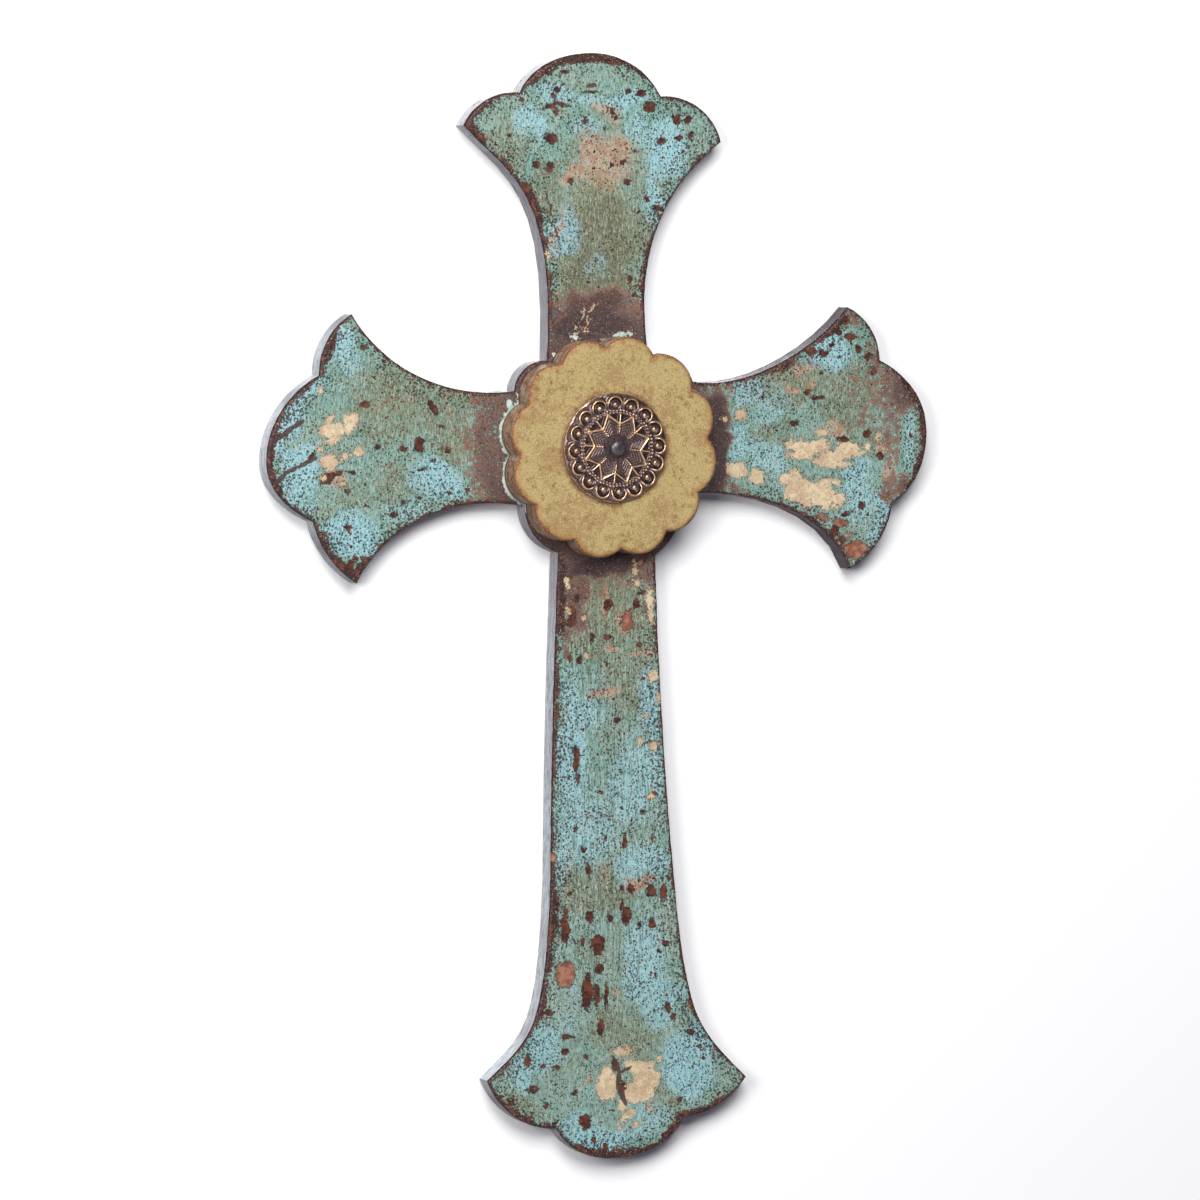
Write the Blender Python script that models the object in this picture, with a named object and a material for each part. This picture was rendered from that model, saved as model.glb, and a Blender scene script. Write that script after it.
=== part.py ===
"""Medallion cross for a wall.

A board is cut as a cross with lobed, horned arm ends. A scalloped wooden medallion sits on its hub,
a stamped brass rosette on the medallion, and a domed nail head in the middle of the rosette.

Everything is drawn lying flat and face up, about the middle of the medallion, with +Y towards the top
arm. An empty then stands the cross upright: its face looks along -Y, its flat back lies in the plane
Y = 0 and +Z is up. The origin is on the flat back of the top arm, just above the keyhole slot that the
cross hangs by.
"""

from math import atan2, cos, exp, hypot, pi, radians, sin, sqrt

import bmesh
import bpy
from mathutils import Vector

MM = 0.001

# How the cross hangs: the origin is this far above the middle of the medallion.
HANG_HEIGHT = 120.0 * MM
SEAT_GAP = 0.3 * MM

# Board
BOARD_THICKNESS = 11.0 * MM
BOARD_EDGE_ROUNDING = 1.4 * MM
CROWN_LEAN_DEG = 26.5
CROWN_FULLNESS = 0.36

# Each arm is described as if it pointed up, in millimetres from the middle of the medallion: across
# from the arm's middle line, then out along it. A side runs from the neck along a flare to the horn,
# over a side lobe to the cusp, and the crown joins the two cusps. The board was cut by hand, so no two
# sides are alike.
TOP_ARM = {
    "turn_deg": 0.0, "reach": 176.0, "crown_shift": -1.4,
    "left": {
        "neck": (25.5, 39.5), "neck_lean_deg": -4.0, "neck_run": 78.0,
        "horn": (62.5, 145.0), "horn_lean_deg": 43.0, "horn_run": 34.0,
        "cusp": (35.5, 159.0), "lobe_rise": 4.7,
    },
    "right": {
        "neck": (23.0, 41.0), "neck_lean_deg": -8.0, "neck_run": 58.0,
        "horn": (60.5, 135.0), "horn_lean_deg": 55.0, "horn_run": 20.0,
        "cusp": (32.0, 156.0), "lobe_rise": 6.5,
    },
}
RIGHT_ARM = {
    "turn_deg": -90.0, "reach": 158.5, "crown_shift": -2.4,
    "left": {
        "neck": (28.0, 44.0), "neck_lean_deg": -13.0, "neck_run": 23.0,
        "horn": (59.0, 120.5), "horn_lean_deg": 49.0, "horn_run": 29.0,
        "cusp": (34.5, 136.0), "lobe_rise": 4.3,
    },
    "right": {
        "neck": (23.5, 38.0), "neck_lean_deg": -17.0, "neck_run": 10.0,
        "horn": (60.0, 118.5), "horn_lean_deg": 71.0, "horn_run": 38.0,
        "cusp": (31.0, 140.5), "lobe_rise": 4.8,
    },
}
BOTTOM_ARM = {
    "turn_deg": 180.0, "reach": 321.0, "crown_shift": 1.8,
    "left": {
        "neck": (31.0, 213.0), "neck_lean_deg": 6.0, "neck_run": 48.0,
        "horn": (62.5, 288.5), "horn_lean_deg": 44.0, "horn_run": 33.0,
        "cusp": (31.5, 305.0), "lobe_rise": 4.0,
    },
    "right": {
        "neck": (30.0, 194.5), "neck_lean_deg": 4.0, "neck_run": 67.0,
        "horn": (62.5, 281.5), "horn_lean_deg": 50.0, "horn_run": 30.0,
        "cusp": (30.0, 305.5), "lobe_rise": 6.3,
    },
}
LEFT_ARM = {
    "turn_deg": 90.0, "reach": 158.5, "crown_shift": -1.5,
    "left": {
        "neck": (25.0, 38.0), "neck_lean_deg": -12.0, "neck_run": 34.0,
        "horn": (56.0, 118.0), "horn_lean_deg": 62.0, "horn_run": 29.0,
        "cusp": (28.0, 137.5), "lobe_rise": 3.4,
    },
    "right": {
        "neck": (26.5, 41.5), "neck_lean_deg": -5.0, "neck_run": 33.0,
        "horn": (63.0, 117.0), "horn_lean_deg": 60.0, "horn_run": 28.0,
        "cusp": (36.5, 133.0), "lobe_rise": 4.3,
    },
}

# The hub swells in a lobe between each pair of arms, and the long shaft runs from the lower two lobes
# to the necks of the bottom arm, each of its sides bowed a little.
HUB_LOBE_RISE = {"upper_right": 4.6, "lower_right": 4.4, "lower_left": 4.3, "upper_left": 4.3}
SHAFT_TOP = {"left": (24.0, 49.5), "right": (22.5, 46.5)}
SHAFT_BOW = {"left": -1.6, "right": 0.7}

# Points along each stretch of the outline
FLARE_STEPS = 10
LOBE_STEPS = 7
CROWN_STEPS = 7
HUB_STEPS = 6
SHAFT_STEPS = 4

# Keyhole slot in the back of the top arm: a screw head goes in at the round entry, and the shank
# slides up the slot while the head runs in the undercut behind its lips. The undercut is a step
# narrower and shallower than the entry.
KEYHOLE_BELOW_ORIGIN = 6.0 * MM
KEYHOLE_TRAVEL = 11.0 * MM
KEYHOLE_ENTRY_RADIUS = 5.0 * MM
KEYHOLE_SLOT_RADIUS = 2.5 * MM
KEYHOLE_LIP = 3.0 * MM
KEYHOLE_DEPTH = 7.0 * MM
KEYHOLE_STEP = 0.3 * MM
KEYHOLE_SIDES = 20

# Medallion: a disc with hand-cut lobes. The notches between the lobes are at these angles.
MEDALLION_THICKNESS = 13.4 * MM
MEDALLION_RADIUS = 49.8 * MM
MEDALLION_NOTCH_DEPTH = 4.4 * MM
MEDALLION_OFFSET = (0.5 * MM, 0.1 * MM)
MEDALLION_EDGE_ROUNDING = 1.8 * MM
MEDALLION_NOTCH_DEG = (
    94.0, 64.5, 33.0, 3.5, -28.5, -58.0, -87.5, -116.5, -147.5, -177.5, -207.0, -237.5,
)
MEDALLION_LOBE_STEPS = 8

# Rosette: a stamped disc with a ring of cups that each hold a ball, and a star of raised ridges.
ROSETTE_RADIUS = 24.4 * MM
ROSETTE_FLANGE = 0.9 * MM
ROSETTE_RING_RADIUS = 23.5 * MM
ROSETTE_RING_HEIGHT = 1.5 * MM
ROSETTE_DOME = 1.3 * MM
ROSETTE_CUPS = 16
ROSETTE_CUP_TURN_DEG = 1.2
CUP_CIRCLE_RADIUS = 19.9 * MM
CUP_RIM_RADIUS = 2.9 * MM
CUP_RIM_WIDTH = 0.75 * MM
CUP_RIM_HEIGHT = 0.9 * MM
CUP_HOLLOW = 0.6 * MM
BALL_RADIUS = 1.75 * MM
SCALLOP_DEPTH = 0.9 * MM
STAR_POINTS = 8
STAR_TURN_DEG = ROSETTE_CUP_TURN_DEG - 8.44
STAR_INNER_RADIUS = 11.2 * MM
STAR_OUTER_RADIUS = 15.8 * MM
STAR_SPOKE_START = 5.5 * MM
STAR_RIDGE_WIDTH = 0.55 * MM
STAR_RIDGE_HEIGHT = 0.7 * MM
ROSETTE_SEAT_RADIUS = 4.2 * MM
ROSETTE_SIDES = 128

# Nail head in the middle of the rosette, set a little off centre
TACK_RADIUS = 3.8 * MM
TACK_HEIGHT = 2.6 * MM
TACK_RIM = 0.4 * MM
TACK_OFFSET = (-0.4 * MM, 0.2 * MM)
TACK_SIDES = 24
TACK_RINGS = 5


def clear_scene():
    for obj in list(bpy.data.objects):
        bpy.data.objects.remove(obj, do_unlink=True)


def make_material(name, color, roughness, metallic=0.0):
    material = bpy.data.materials.new(name)
    material.use_nodes = True
    shader = material.node_tree.nodes["Principled BSDF"]
    shader.inputs["Base Color"].default_value = (*color, 1.0)
    shader.inputs["Roughness"].default_value = roughness
    shader.inputs["Metallic"].default_value = metallic
    material.diffuse_color = (*color, 1.0)
    return material


def add_object(name, bm, material, parent, location):
    bmesh.ops.recalc_face_normals(bm, faces=bm.faces)
    mesh = bpy.data.meshes.new(name)
    bm.to_mesh(mesh)
    bm.free()
    mesh.materials.append(material)
    obj = bpy.data.objects.new(name, mesh)
    bpy.context.scene.collection.objects.link(obj)
    obj.parent = parent
    obj.location = location
    return obj


def shade_round(obj, angle_deg):
    obj.data.shade_smooth()
    obj.data.set_sharp_from_angle(angle=radians(angle_deg))


def arc_points(start, end, rise, steps):
    """Points along an arc that stands rise to the left of its chord, without the last one."""
    chord = end - start
    left = Vector((-chord.y, chord.x)).normalized()
    radius = (chord.length_squared / 4 + rise * rise) / (2 * rise)
    centre = start + chord / 2 - left * (radius - rise)
    spoke = start - centre
    first = atan2(spoke.y, spoke.x)
    sweep = -4 * atan2(2 * rise, chord.length)
    points = []
    for step in range(steps):
        angle = first + sweep * step / steps
        points.append(centre + Vector((cos(angle), sin(angle))) * abs(radius))
    return points


def curve_points(start, start_pull, end_pull, end, steps):
    """Points along a cubic curve, without the last one."""
    points = []
    for step in range(steps):
        t = step / steps
        u = 1 - t
        points.append(start * u ** 3 + start_pull * (3 * u * u * t) + end_pull * (3 * u * t * t) + end * t ** 3)
    return points


def lean(side_sign, angle_deg):
    """The arm's outward direction, leaning away from its middle line by an angle."""
    return Vector((side_sign * sin(radians(angle_deg)), cos(radians(angle_deg))))


def side_points(side, side_sign, apex):
    """One side of an arm end from its neck to the apex of the crown."""
    neck = Vector((side_sign * side["neck"][0], side["neck"][1]))
    horn = Vector((side_sign * side["horn"][0], side["horn"][1]))
    cusp = Vector((side_sign * side["cusp"][0], side["cusp"][1]))
    neck_pull = neck + lean(side_sign, side["neck_lean_deg"]) * side["neck_run"]
    horn_pull = horn - lean(side_sign, side["horn_lean_deg"]) * side["horn_run"]
    reach = (apex - cusp).length * CROWN_FULLNESS
    cusp_pull = cusp + lean(-side_sign, CROWN_LEAN_DEG) * reach
    apex_pull = apex + Vector((side_sign * reach, 0))
    points = curve_points(neck, neck_pull, horn_pull, horn, FLARE_STEPS)
    points += arc_points(horn, cusp, -side_sign * side["lobe_rise"], LOBE_STEPS)
    points += curve_points(cusp, cusp_pull, apex_pull, apex, CROWN_STEPS)
    return points


def arm_points(arm):
    """An arm end from its left neck to its right neck, turned to where it points."""
    apex = Vector((arm["crown_shift"], arm["reach"]))
    right = side_points(arm["right"], 1, apex)
    points = side_points(arm["left"], -1, apex) + [apex] + right[::-1]
    turned = []
    for point in points:
        turned.append(turn(point, arm["turn_deg"]))
    return turned


def turn(point, angle_deg):
    angle = radians(angle_deg)
    return Vector((point.x * cos(angle) - point.y * sin(angle), point.x * sin(angle) + point.y * cos(angle)))


def bridge(start, end, rise, steps):
    """The points strictly between two arms along an arc."""
    return arc_points(start, end, rise, steps)[1:]


def board_outline():
    """The cross in millimetres, clockwise from the left neck of the top arm."""
    top, right = arm_points(TOP_ARM), arm_points(RIGHT_ARM)
    bottom, left = arm_points(BOTTOM_ARM), arm_points(LEFT_ARM)
    shaft_right = turn(Vector((-SHAFT_TOP["left"][0], SHAFT_TOP["left"][1])), BOTTOM_ARM["turn_deg"])
    shaft_left = turn(Vector(SHAFT_TOP["right"]), BOTTOM_ARM["turn_deg"])
    points = top + bridge(top[-1], right[0], HUB_LOBE_RISE["upper_right"], HUB_STEPS)
    points += right + bridge(right[-1], shaft_right, HUB_LOBE_RISE["lower_right"], HUB_STEPS)
    points += arc_points(shaft_right, bottom[0], SHAFT_BOW["left"], SHAFT_STEPS)
    points += bottom + bridge(bottom[-1], shaft_left, SHAFT_BOW["right"], SHAFT_STEPS)
    points += arc_points(shaft_left, left[0], HUB_LOBE_RISE["lower_left"], HUB_STEPS)
    points += left + bridge(left[-1], top[0], HUB_LOBE_RISE["upper_left"], HUB_STEPS)
    return points


def medallion_outline():
    """The lobes of the medallion in metres, clockwise: each is an arc between two notches."""
    notch_radius = MEDALLION_RADIUS - MEDALLION_NOTCH_DEPTH
    notches = []
    for angle_deg in MEDALLION_NOTCH_DEG:
        angle = radians(angle_deg)
        notches.append(Vector((cos(angle), sin(angle))) * notch_radius)
    points = []
    for index, start in enumerate(notches):
        end = notches[(index + 1) % len(notches)]
        rise = MEDALLION_RADIUS - ((start + end) / 2).length
        points += arc_points(start, end, rise, MEDALLION_LOBE_STEPS)
    return points


def slab(outline, low, high):
    """A closed slab with the given outline between two heights."""
    bm = bmesh.new()
    base = bm.faces.new([bm.verts.new((point.x, point.y, low)) for point in outline])
    raised = bmesh.ops.extrude_face_region(bm, geom=[base])["geom"]
    lifted = [item for item in raised if isinstance(item, bmesh.types.BMVert)]
    bmesh.ops.translate(bm, verts=lifted, vec=(0, 0, high - low))
    return bm


def round_front_edge(obj, front, width):
    """Bevel the outer edge of a slab's front face."""
    weights = obj.data.attributes.new("bevel_weight_edge", "FLOAT", "EDGE")
    for edge in obj.data.edges:
        heights = [obj.data.vertices[index].co.z for index in edge.vertices]
        if min(heights) > front - SEAT_GAP:
            weights.data[edge.index].value = 1.0
    bevel = obj.modifiers.new("edge_rounding", "BEVEL")
    bevel.limit_method = "WEIGHT"
    bevel.width = width
    bevel.segments = 2


def stadium(top, bottom, radius):
    """The outline of a slot with round ends, between two heights on the middle line."""
    points = []
    for step in range(KEYHOLE_SIDES + 1):
        angle = pi * step / KEYHOLE_SIDES
        points.append(Vector((radius * cos(angle), top + radius * sin(angle))))
    for step in range(KEYHOLE_SIDES + 1):
        angle = pi + pi * step / KEYHOLE_SIDES
        points.append(Vector((radius * cos(angle), bottom + radius * sin(angle))))
    return points


def circle(centre_y, radius):
    points = []
    for step in range(KEYHOLE_SIDES):
        angle = 2 * pi * step / KEYHOLE_SIDES
        points.append(Vector((radius * cos(angle), centre_y + radius * sin(angle))))
    return points


def cut_keyhole(board, material, parent, location):
    """Cut the keyhole slot into the back of the top arm."""
    slot_end = HANG_HEIGHT - KEYHOLE_BELOW_ORIGIN - KEYHOLE_ENTRY_RADIUS
    entry = slot_end - KEYHOLE_TRAVEL
    outside = -KEYHOLE_LIP
    slot_depth = (KEYHOLE_LIP + KEYHOLE_DEPTH) / 2
    undercut_depth = KEYHOLE_DEPTH - KEYHOLE_STEP
    undercut_radius = KEYHOLE_ENTRY_RADIUS - KEYHOLE_STEP
    cutters = {
        "keyhole_entry_cutter": slab(circle(entry, KEYHOLE_ENTRY_RADIUS), outside, KEYHOLE_DEPTH),
        "keyhole_slot_cutter": slab(stadium(slot_end, entry, KEYHOLE_SLOT_RADIUS), outside, slot_depth),
        "keyhole_undercut_cutter": slab(
            stadium(slot_end, entry, undercut_radius), KEYHOLE_LIP, undercut_depth
        ),
    }
    for name, bm in cutters.items():
        cutter = add_object(name, bm, material, parent, location)
        cutter.hide_render = True
        cutter.display_type = "WIRE"
        cut = board.modifiers.new(name, "BOOLEAN")
        cut.operation = "DIFFERENCE"
        cut.solver = "EXACT"
        cut.object = cutter


def bump(distance, width):
    """A smooth ridge profile, 1 on the ridge and close to 0 beyond its width."""
    return exp(-((distance / width) ** 2))


def distance_to_segment(point, start, end):
    along = end - start
    share = max(0.0, min(1.0, (point - start).dot(along) / along.length_squared))
    return (point - start - along * share).length


def cup_relief(point):
    """The ball, the hollow and the crescent rim of the cup nearest to a point."""
    pitch = 2 * pi / ROSETTE_CUPS
    phase = radians(ROSETTE_CUP_TURN_DEG)
    nearest = round((atan2(point.y, point.x) - phase) / pitch) * pitch + phase
    outward = Vector((cos(nearest), sin(nearest)))
    offset = point - outward * CUP_CIRCLE_RADIUS
    distance = offset.length
    ball = sqrt(max(0.0, BALL_RADIUS ** 2 - distance ** 2))
    outer_side = max(0.0, min(1.0, 0.5 + offset.dot(outward) / BALL_RADIUS))
    rim = CUP_RIM_HEIGHT * outer_side * bump(distance - CUP_RIM_RADIUS, CUP_RIM_WIDTH)
    hollow = CUP_HOLLOW * bump(distance, CUP_RIM_RADIUS)
    return ball + rim - hollow


def star_relief(point):
    """The zigzag ridge of the star with a spoke through each of its inner corners."""
    pitch = 2 * pi / STAR_POINTS
    phase = radians(STAR_TURN_DEG)
    nearest = round((atan2(point.y, point.x) - phase) / pitch) * pitch + phase
    inner = Vector((cos(nearest), sin(nearest))) * STAR_INNER_RADIUS
    spoke_in = inner.normalized() * STAR_SPOKE_START
    spoke_out = inner.normalized() * STAR_OUTER_RADIUS
    distance = distance_to_segment(point, spoke_in, spoke_out)
    for side in (-1, 1):
        angle = nearest + side * pitch / 2
        tip = Vector((cos(angle), sin(angle))) * STAR_OUTER_RADIUS
        distance = min(distance, distance_to_segment(point, inner, tip))
    return STAR_RIDGE_HEIGHT * bump(distance, STAR_RIDGE_WIDTH)


def rosette_height(point):
    """The height of the rosette's face above its underside at a point of its stamped field."""
    radius = point.length
    dome = ROSETTE_DOME * (1 - (radius / ROSETTE_RING_RADIUS) ** 2)
    height = ROSETTE_FLANGE + ROSETTE_RING_HEIGHT + dome
    if radius > STAR_SPOKE_START / 2:
        height += star_relief(point)
    if radius > STAR_OUTER_RADIUS:
        height += cup_relief(point)
    return height


def scalloped(radius, angle):
    """A ring radius drawn in between the cups, by the full depth only at the ring's own edge."""
    phase = (angle - radians(ROSETTE_CUP_TURN_DEG)) * ROSETTE_CUPS / 2
    share = (radius / ROSETTE_RING_RADIUS) ** 8
    return radius - SCALLOP_DEPTH * share * (1 - abs(cos(phase)))


def rosette_rings():
    """The radii of the rosette's rings of points, closest where its relief is finest."""
    star_rows = 4
    cup_rows = 7
    radii = [ROSETTE_SEAT_RADIUS, STAR_SPOKE_START, (STAR_SPOKE_START + STAR_INNER_RADIUS) / 2]
    for row in range(star_rows):
        radii.append(STAR_INNER_RADIUS + (STAR_OUTER_RADIUS - STAR_INNER_RADIUS) * row / (star_rows - 1))
    first = CUP_CIRCLE_RADIUS - CUP_RIM_RADIUS
    for row in range(cup_rows):
        radii.append(first + (ROSETTE_RING_RADIUS - first) * row / (cup_rows - 1))
    return radii


def rosette_mesh():
    bm = bmesh.new()
    angles = []
    for side in range(ROSETTE_SIDES):
        angles.append(radians(ROSETTE_CUP_TURN_DEG) + 2 * pi * side / ROSETTE_SIDES)
    seat_height = ROSETTE_FLANGE + ROSETTE_RING_HEIGHT + ROSETTE_DOME
    rings = []
    for radius in rosette_rings():
        ring = []
        for angle in angles:
            point = Vector((cos(angle), sin(angle))) * scalloped(radius, angle)
            height = seat_height if radius == ROSETTE_SEAT_RADIUS else rosette_height(point)
            ring.append(bm.verts.new((point.x, point.y, height)))
        rings.append(ring)
    foot = []
    for angle in angles:
        point = Vector((cos(angle), sin(angle))) * (scalloped(ROSETTE_RING_RADIUS, angle) + SEAT_GAP)
        foot.append(bm.verts.new((point.x, point.y, ROSETTE_FLANGE)))
    rings.append(foot)
    for height in (ROSETTE_FLANGE, 0.0):
        ring = []
        for angle in angles:
            ring.append(bm.verts.new((ROSETTE_RADIUS * cos(angle), ROSETTE_RADIUS * sin(angle), height)))
        rings.append(ring)
    for inner, outer in zip(rings, rings[1:]):
        for side in range(ROSETTE_SIDES):
            after = (side + 1) % ROSETTE_SIDES
            bm.faces.new((inner[side], outer[side], outer[after], inner[after]))
    bm.faces.new(rings[0])
    bm.faces.new(rings[-1][::-1])
    return bm


def tack_mesh():
    """A turned dome on a short upright rim, with a flat underside."""
    profile = [(TACK_RADIUS, 0.0)]
    for ring in range(TACK_RINGS):
        angle = pi / 2 * ring / TACK_RINGS
        profile.append((TACK_RADIUS * cos(angle), TACK_RIM + (TACK_HEIGHT - TACK_RIM) * sin(angle)))
    bm = bmesh.new()
    rings = []
    for radius, height in profile:
        ring = []
        for side in range(TACK_SIDES):
            angle = 2 * pi * side / TACK_SIDES
            ring.append(bm.verts.new((radius * cos(angle), radius * sin(angle), height)))
        rings.append(ring)
    for lower, upper in zip(rings, rings[1:]):
        for side in range(TACK_SIDES):
            after = (side + 1) % TACK_SIDES
            bm.faces.new((lower[side], lower[after], upper[after], upper[side]))
    top = bm.verts.new((0, 0, TACK_HEIGHT))
    for side in range(TACK_SIDES):
        bm.faces.new((rings[-1][side], rings[-1][(side + 1) % TACK_SIDES], top))
    bm.faces.new(rings[0][::-1])
    return bm


def build_board(parent, centre):
    material = make_material("turquoise_paint", (0.22, 0.42, 0.41), 0.75)
    outline = [point * MM for point in board_outline()]
    board = add_object("cross_board", slab(outline, 0.0, BOARD_THICKNESS), material, parent, centre)
    round_front_edge(board, BOARD_THICKNESS, BOARD_EDGE_ROUNDING)
    cut_keyhole(board, material, parent, centre)
    shade_round(board, 30)


def build_medallion(parent, centre, back):
    material = make_material("olive_gold_paint", (0.50, 0.37, 0.15), 0.7)
    mesh = slab(medallion_outline(), 0.0, MEDALLION_THICKNESS)
    place = centre + Vector((MEDALLION_OFFSET[0], MEDALLION_OFFSET[1], back))
    medallion = add_object("medallion", mesh, material, parent, place)
    round_front_edge(medallion, MEDALLION_THICKNESS, MEDALLION_EDGE_ROUNDING)
    shade_round(medallion, 30)


def build_rosette(parent, centre, back):
    material = make_material("antique_brass", (0.30, 0.22, 0.15), 0.4, 1.0)
    rosette = add_object("rosette", rosette_mesh(), material, parent, centre + Vector((0, 0, back)))
    shade_round(rosette, 50)


def build_tack(parent, centre, back):
    material = make_material("dark_steel", (0.07, 0.07, 0.08), 0.35, 1.0)
    place = centre + Vector((TACK_OFFSET[0], TACK_OFFSET[1], back))
    tack = add_object("centre_tack", tack_mesh(), material, parent, place)
    shade_round(tack, 40)


def main():
    clear_scene()
    standing = bpy.data.objects.new("medallion_cross", None)
    bpy.context.scene.collection.objects.link(standing)
    standing.rotation_euler = (pi / 2, 0, 0)
    centre = Vector((0, -HANG_HEIGHT, 0))
    medallion_back = BOARD_THICKNESS + SEAT_GAP
    rosette_back = medallion_back + MEDALLION_THICKNESS + SEAT_GAP
    tack_back = rosette_back + ROSETTE_FLANGE + ROSETTE_RING_HEIGHT + ROSETTE_DOME + SEAT_GAP
    build_board(standing, centre)
    build_medallion(standing, centre, medallion_back)
    build_rosette(standing, centre, rosette_back)
    build_tack(standing, centre, tack_back)
    bpy.context.view_layer.update()


main()
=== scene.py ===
"""Looks for the medallion cross: crackled paint on the board, a rubbed olive-gold medallion, a stamped
brass rosette and its nail head, with the camera, the light and a pale studio.

The frame is in metres. Surfaces are worked out in millimetres, across and up from the middle of the
medallion, with depth counted forward from the flat back of the cross.
"""

from math import ceil, cos, pi, radians, sin, sqrt

import bmesh
import bpy
import numpy as np
from mathutils import Matrix, Vector
from mathutils.geometry import delaunay_2d_cdt


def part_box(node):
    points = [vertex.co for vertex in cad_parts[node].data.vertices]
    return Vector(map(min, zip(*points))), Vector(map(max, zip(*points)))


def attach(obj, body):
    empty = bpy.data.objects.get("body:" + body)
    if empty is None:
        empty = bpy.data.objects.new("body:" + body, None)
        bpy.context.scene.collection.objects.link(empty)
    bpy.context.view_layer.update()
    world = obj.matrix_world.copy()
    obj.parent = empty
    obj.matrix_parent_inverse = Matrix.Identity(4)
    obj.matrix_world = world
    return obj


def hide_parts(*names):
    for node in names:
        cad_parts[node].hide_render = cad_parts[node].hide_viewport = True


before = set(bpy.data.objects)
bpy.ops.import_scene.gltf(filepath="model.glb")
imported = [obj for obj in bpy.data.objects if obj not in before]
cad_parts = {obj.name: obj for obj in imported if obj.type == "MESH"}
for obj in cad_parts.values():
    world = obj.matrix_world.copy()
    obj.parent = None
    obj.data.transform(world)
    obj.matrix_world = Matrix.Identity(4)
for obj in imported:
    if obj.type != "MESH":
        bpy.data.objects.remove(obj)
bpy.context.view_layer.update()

MM = 0.001
HANG_HEIGHT = 120.0

# Camera
CAMERA_TARGET = Vector((0.00083, 0.0, -0.18928))
CAMERA_DISTANCE = 3.0
CAMERA_AZIMUTH_DEG = -21.0
CAMERA_ELEVATION_DEG = 3.8
CAMERA_ROLL_DEG = 1.35
CAMERA_LENS = 200.0
CAMERA_SENSOR = 36.0
PHOTO_PIXELS = 1200

# Light
WORLD_LIGHT = 0.10
WORLD_COLOR = (0.82, 0.77, 1.0)
SEEN_BACKGROUND = (0.92, 0.92, 0.92, 1.0)
KEY_LIGHT = 58.0
LEFT_LIGHT = 34.0
BACK_LIGHT = 60.0
LIGHT_ON_FACE = 1.2

# Board, medallion and rosette
BOARD_DEPTH = 11.0
BOARD_ROUNDING = 1.3
MEDALLION_BACK = 11.3
MEDALLION_FRONT = 24.7
ROSETTE_BACK = 25.0
CUPS = 16
CUP_TURN_DEG = 1.2
CUP_CIRCLE = 19.8
STAR_POINTS = 8
STAR_TURN_DEG = CUP_TURN_DEG - 8.44
STAR_INNER, STAR_OUTER = 10.9, 15.8

# Marks on the board's face, placed on the photo: their places and sizes are in its pixels, and
# on_board turns them into millimetres, rounded to a step.
PIXEL = CAMERA_DISTANCE / MM * CAMERA_SENSOR / CAMERA_LENS / PHOTO_PIXELS
PIXEL_ACROSS = PIXEL / cos(radians(CAMERA_AZIMUTH_DEG))
PIXEL_UP = PIXEL / cos(radians(CAMERA_ELEVATION_DEG))
SPOT_STEP, AREA_STEP = 0.5, 1.0
SMALLEST_MARK = 1.0

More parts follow.
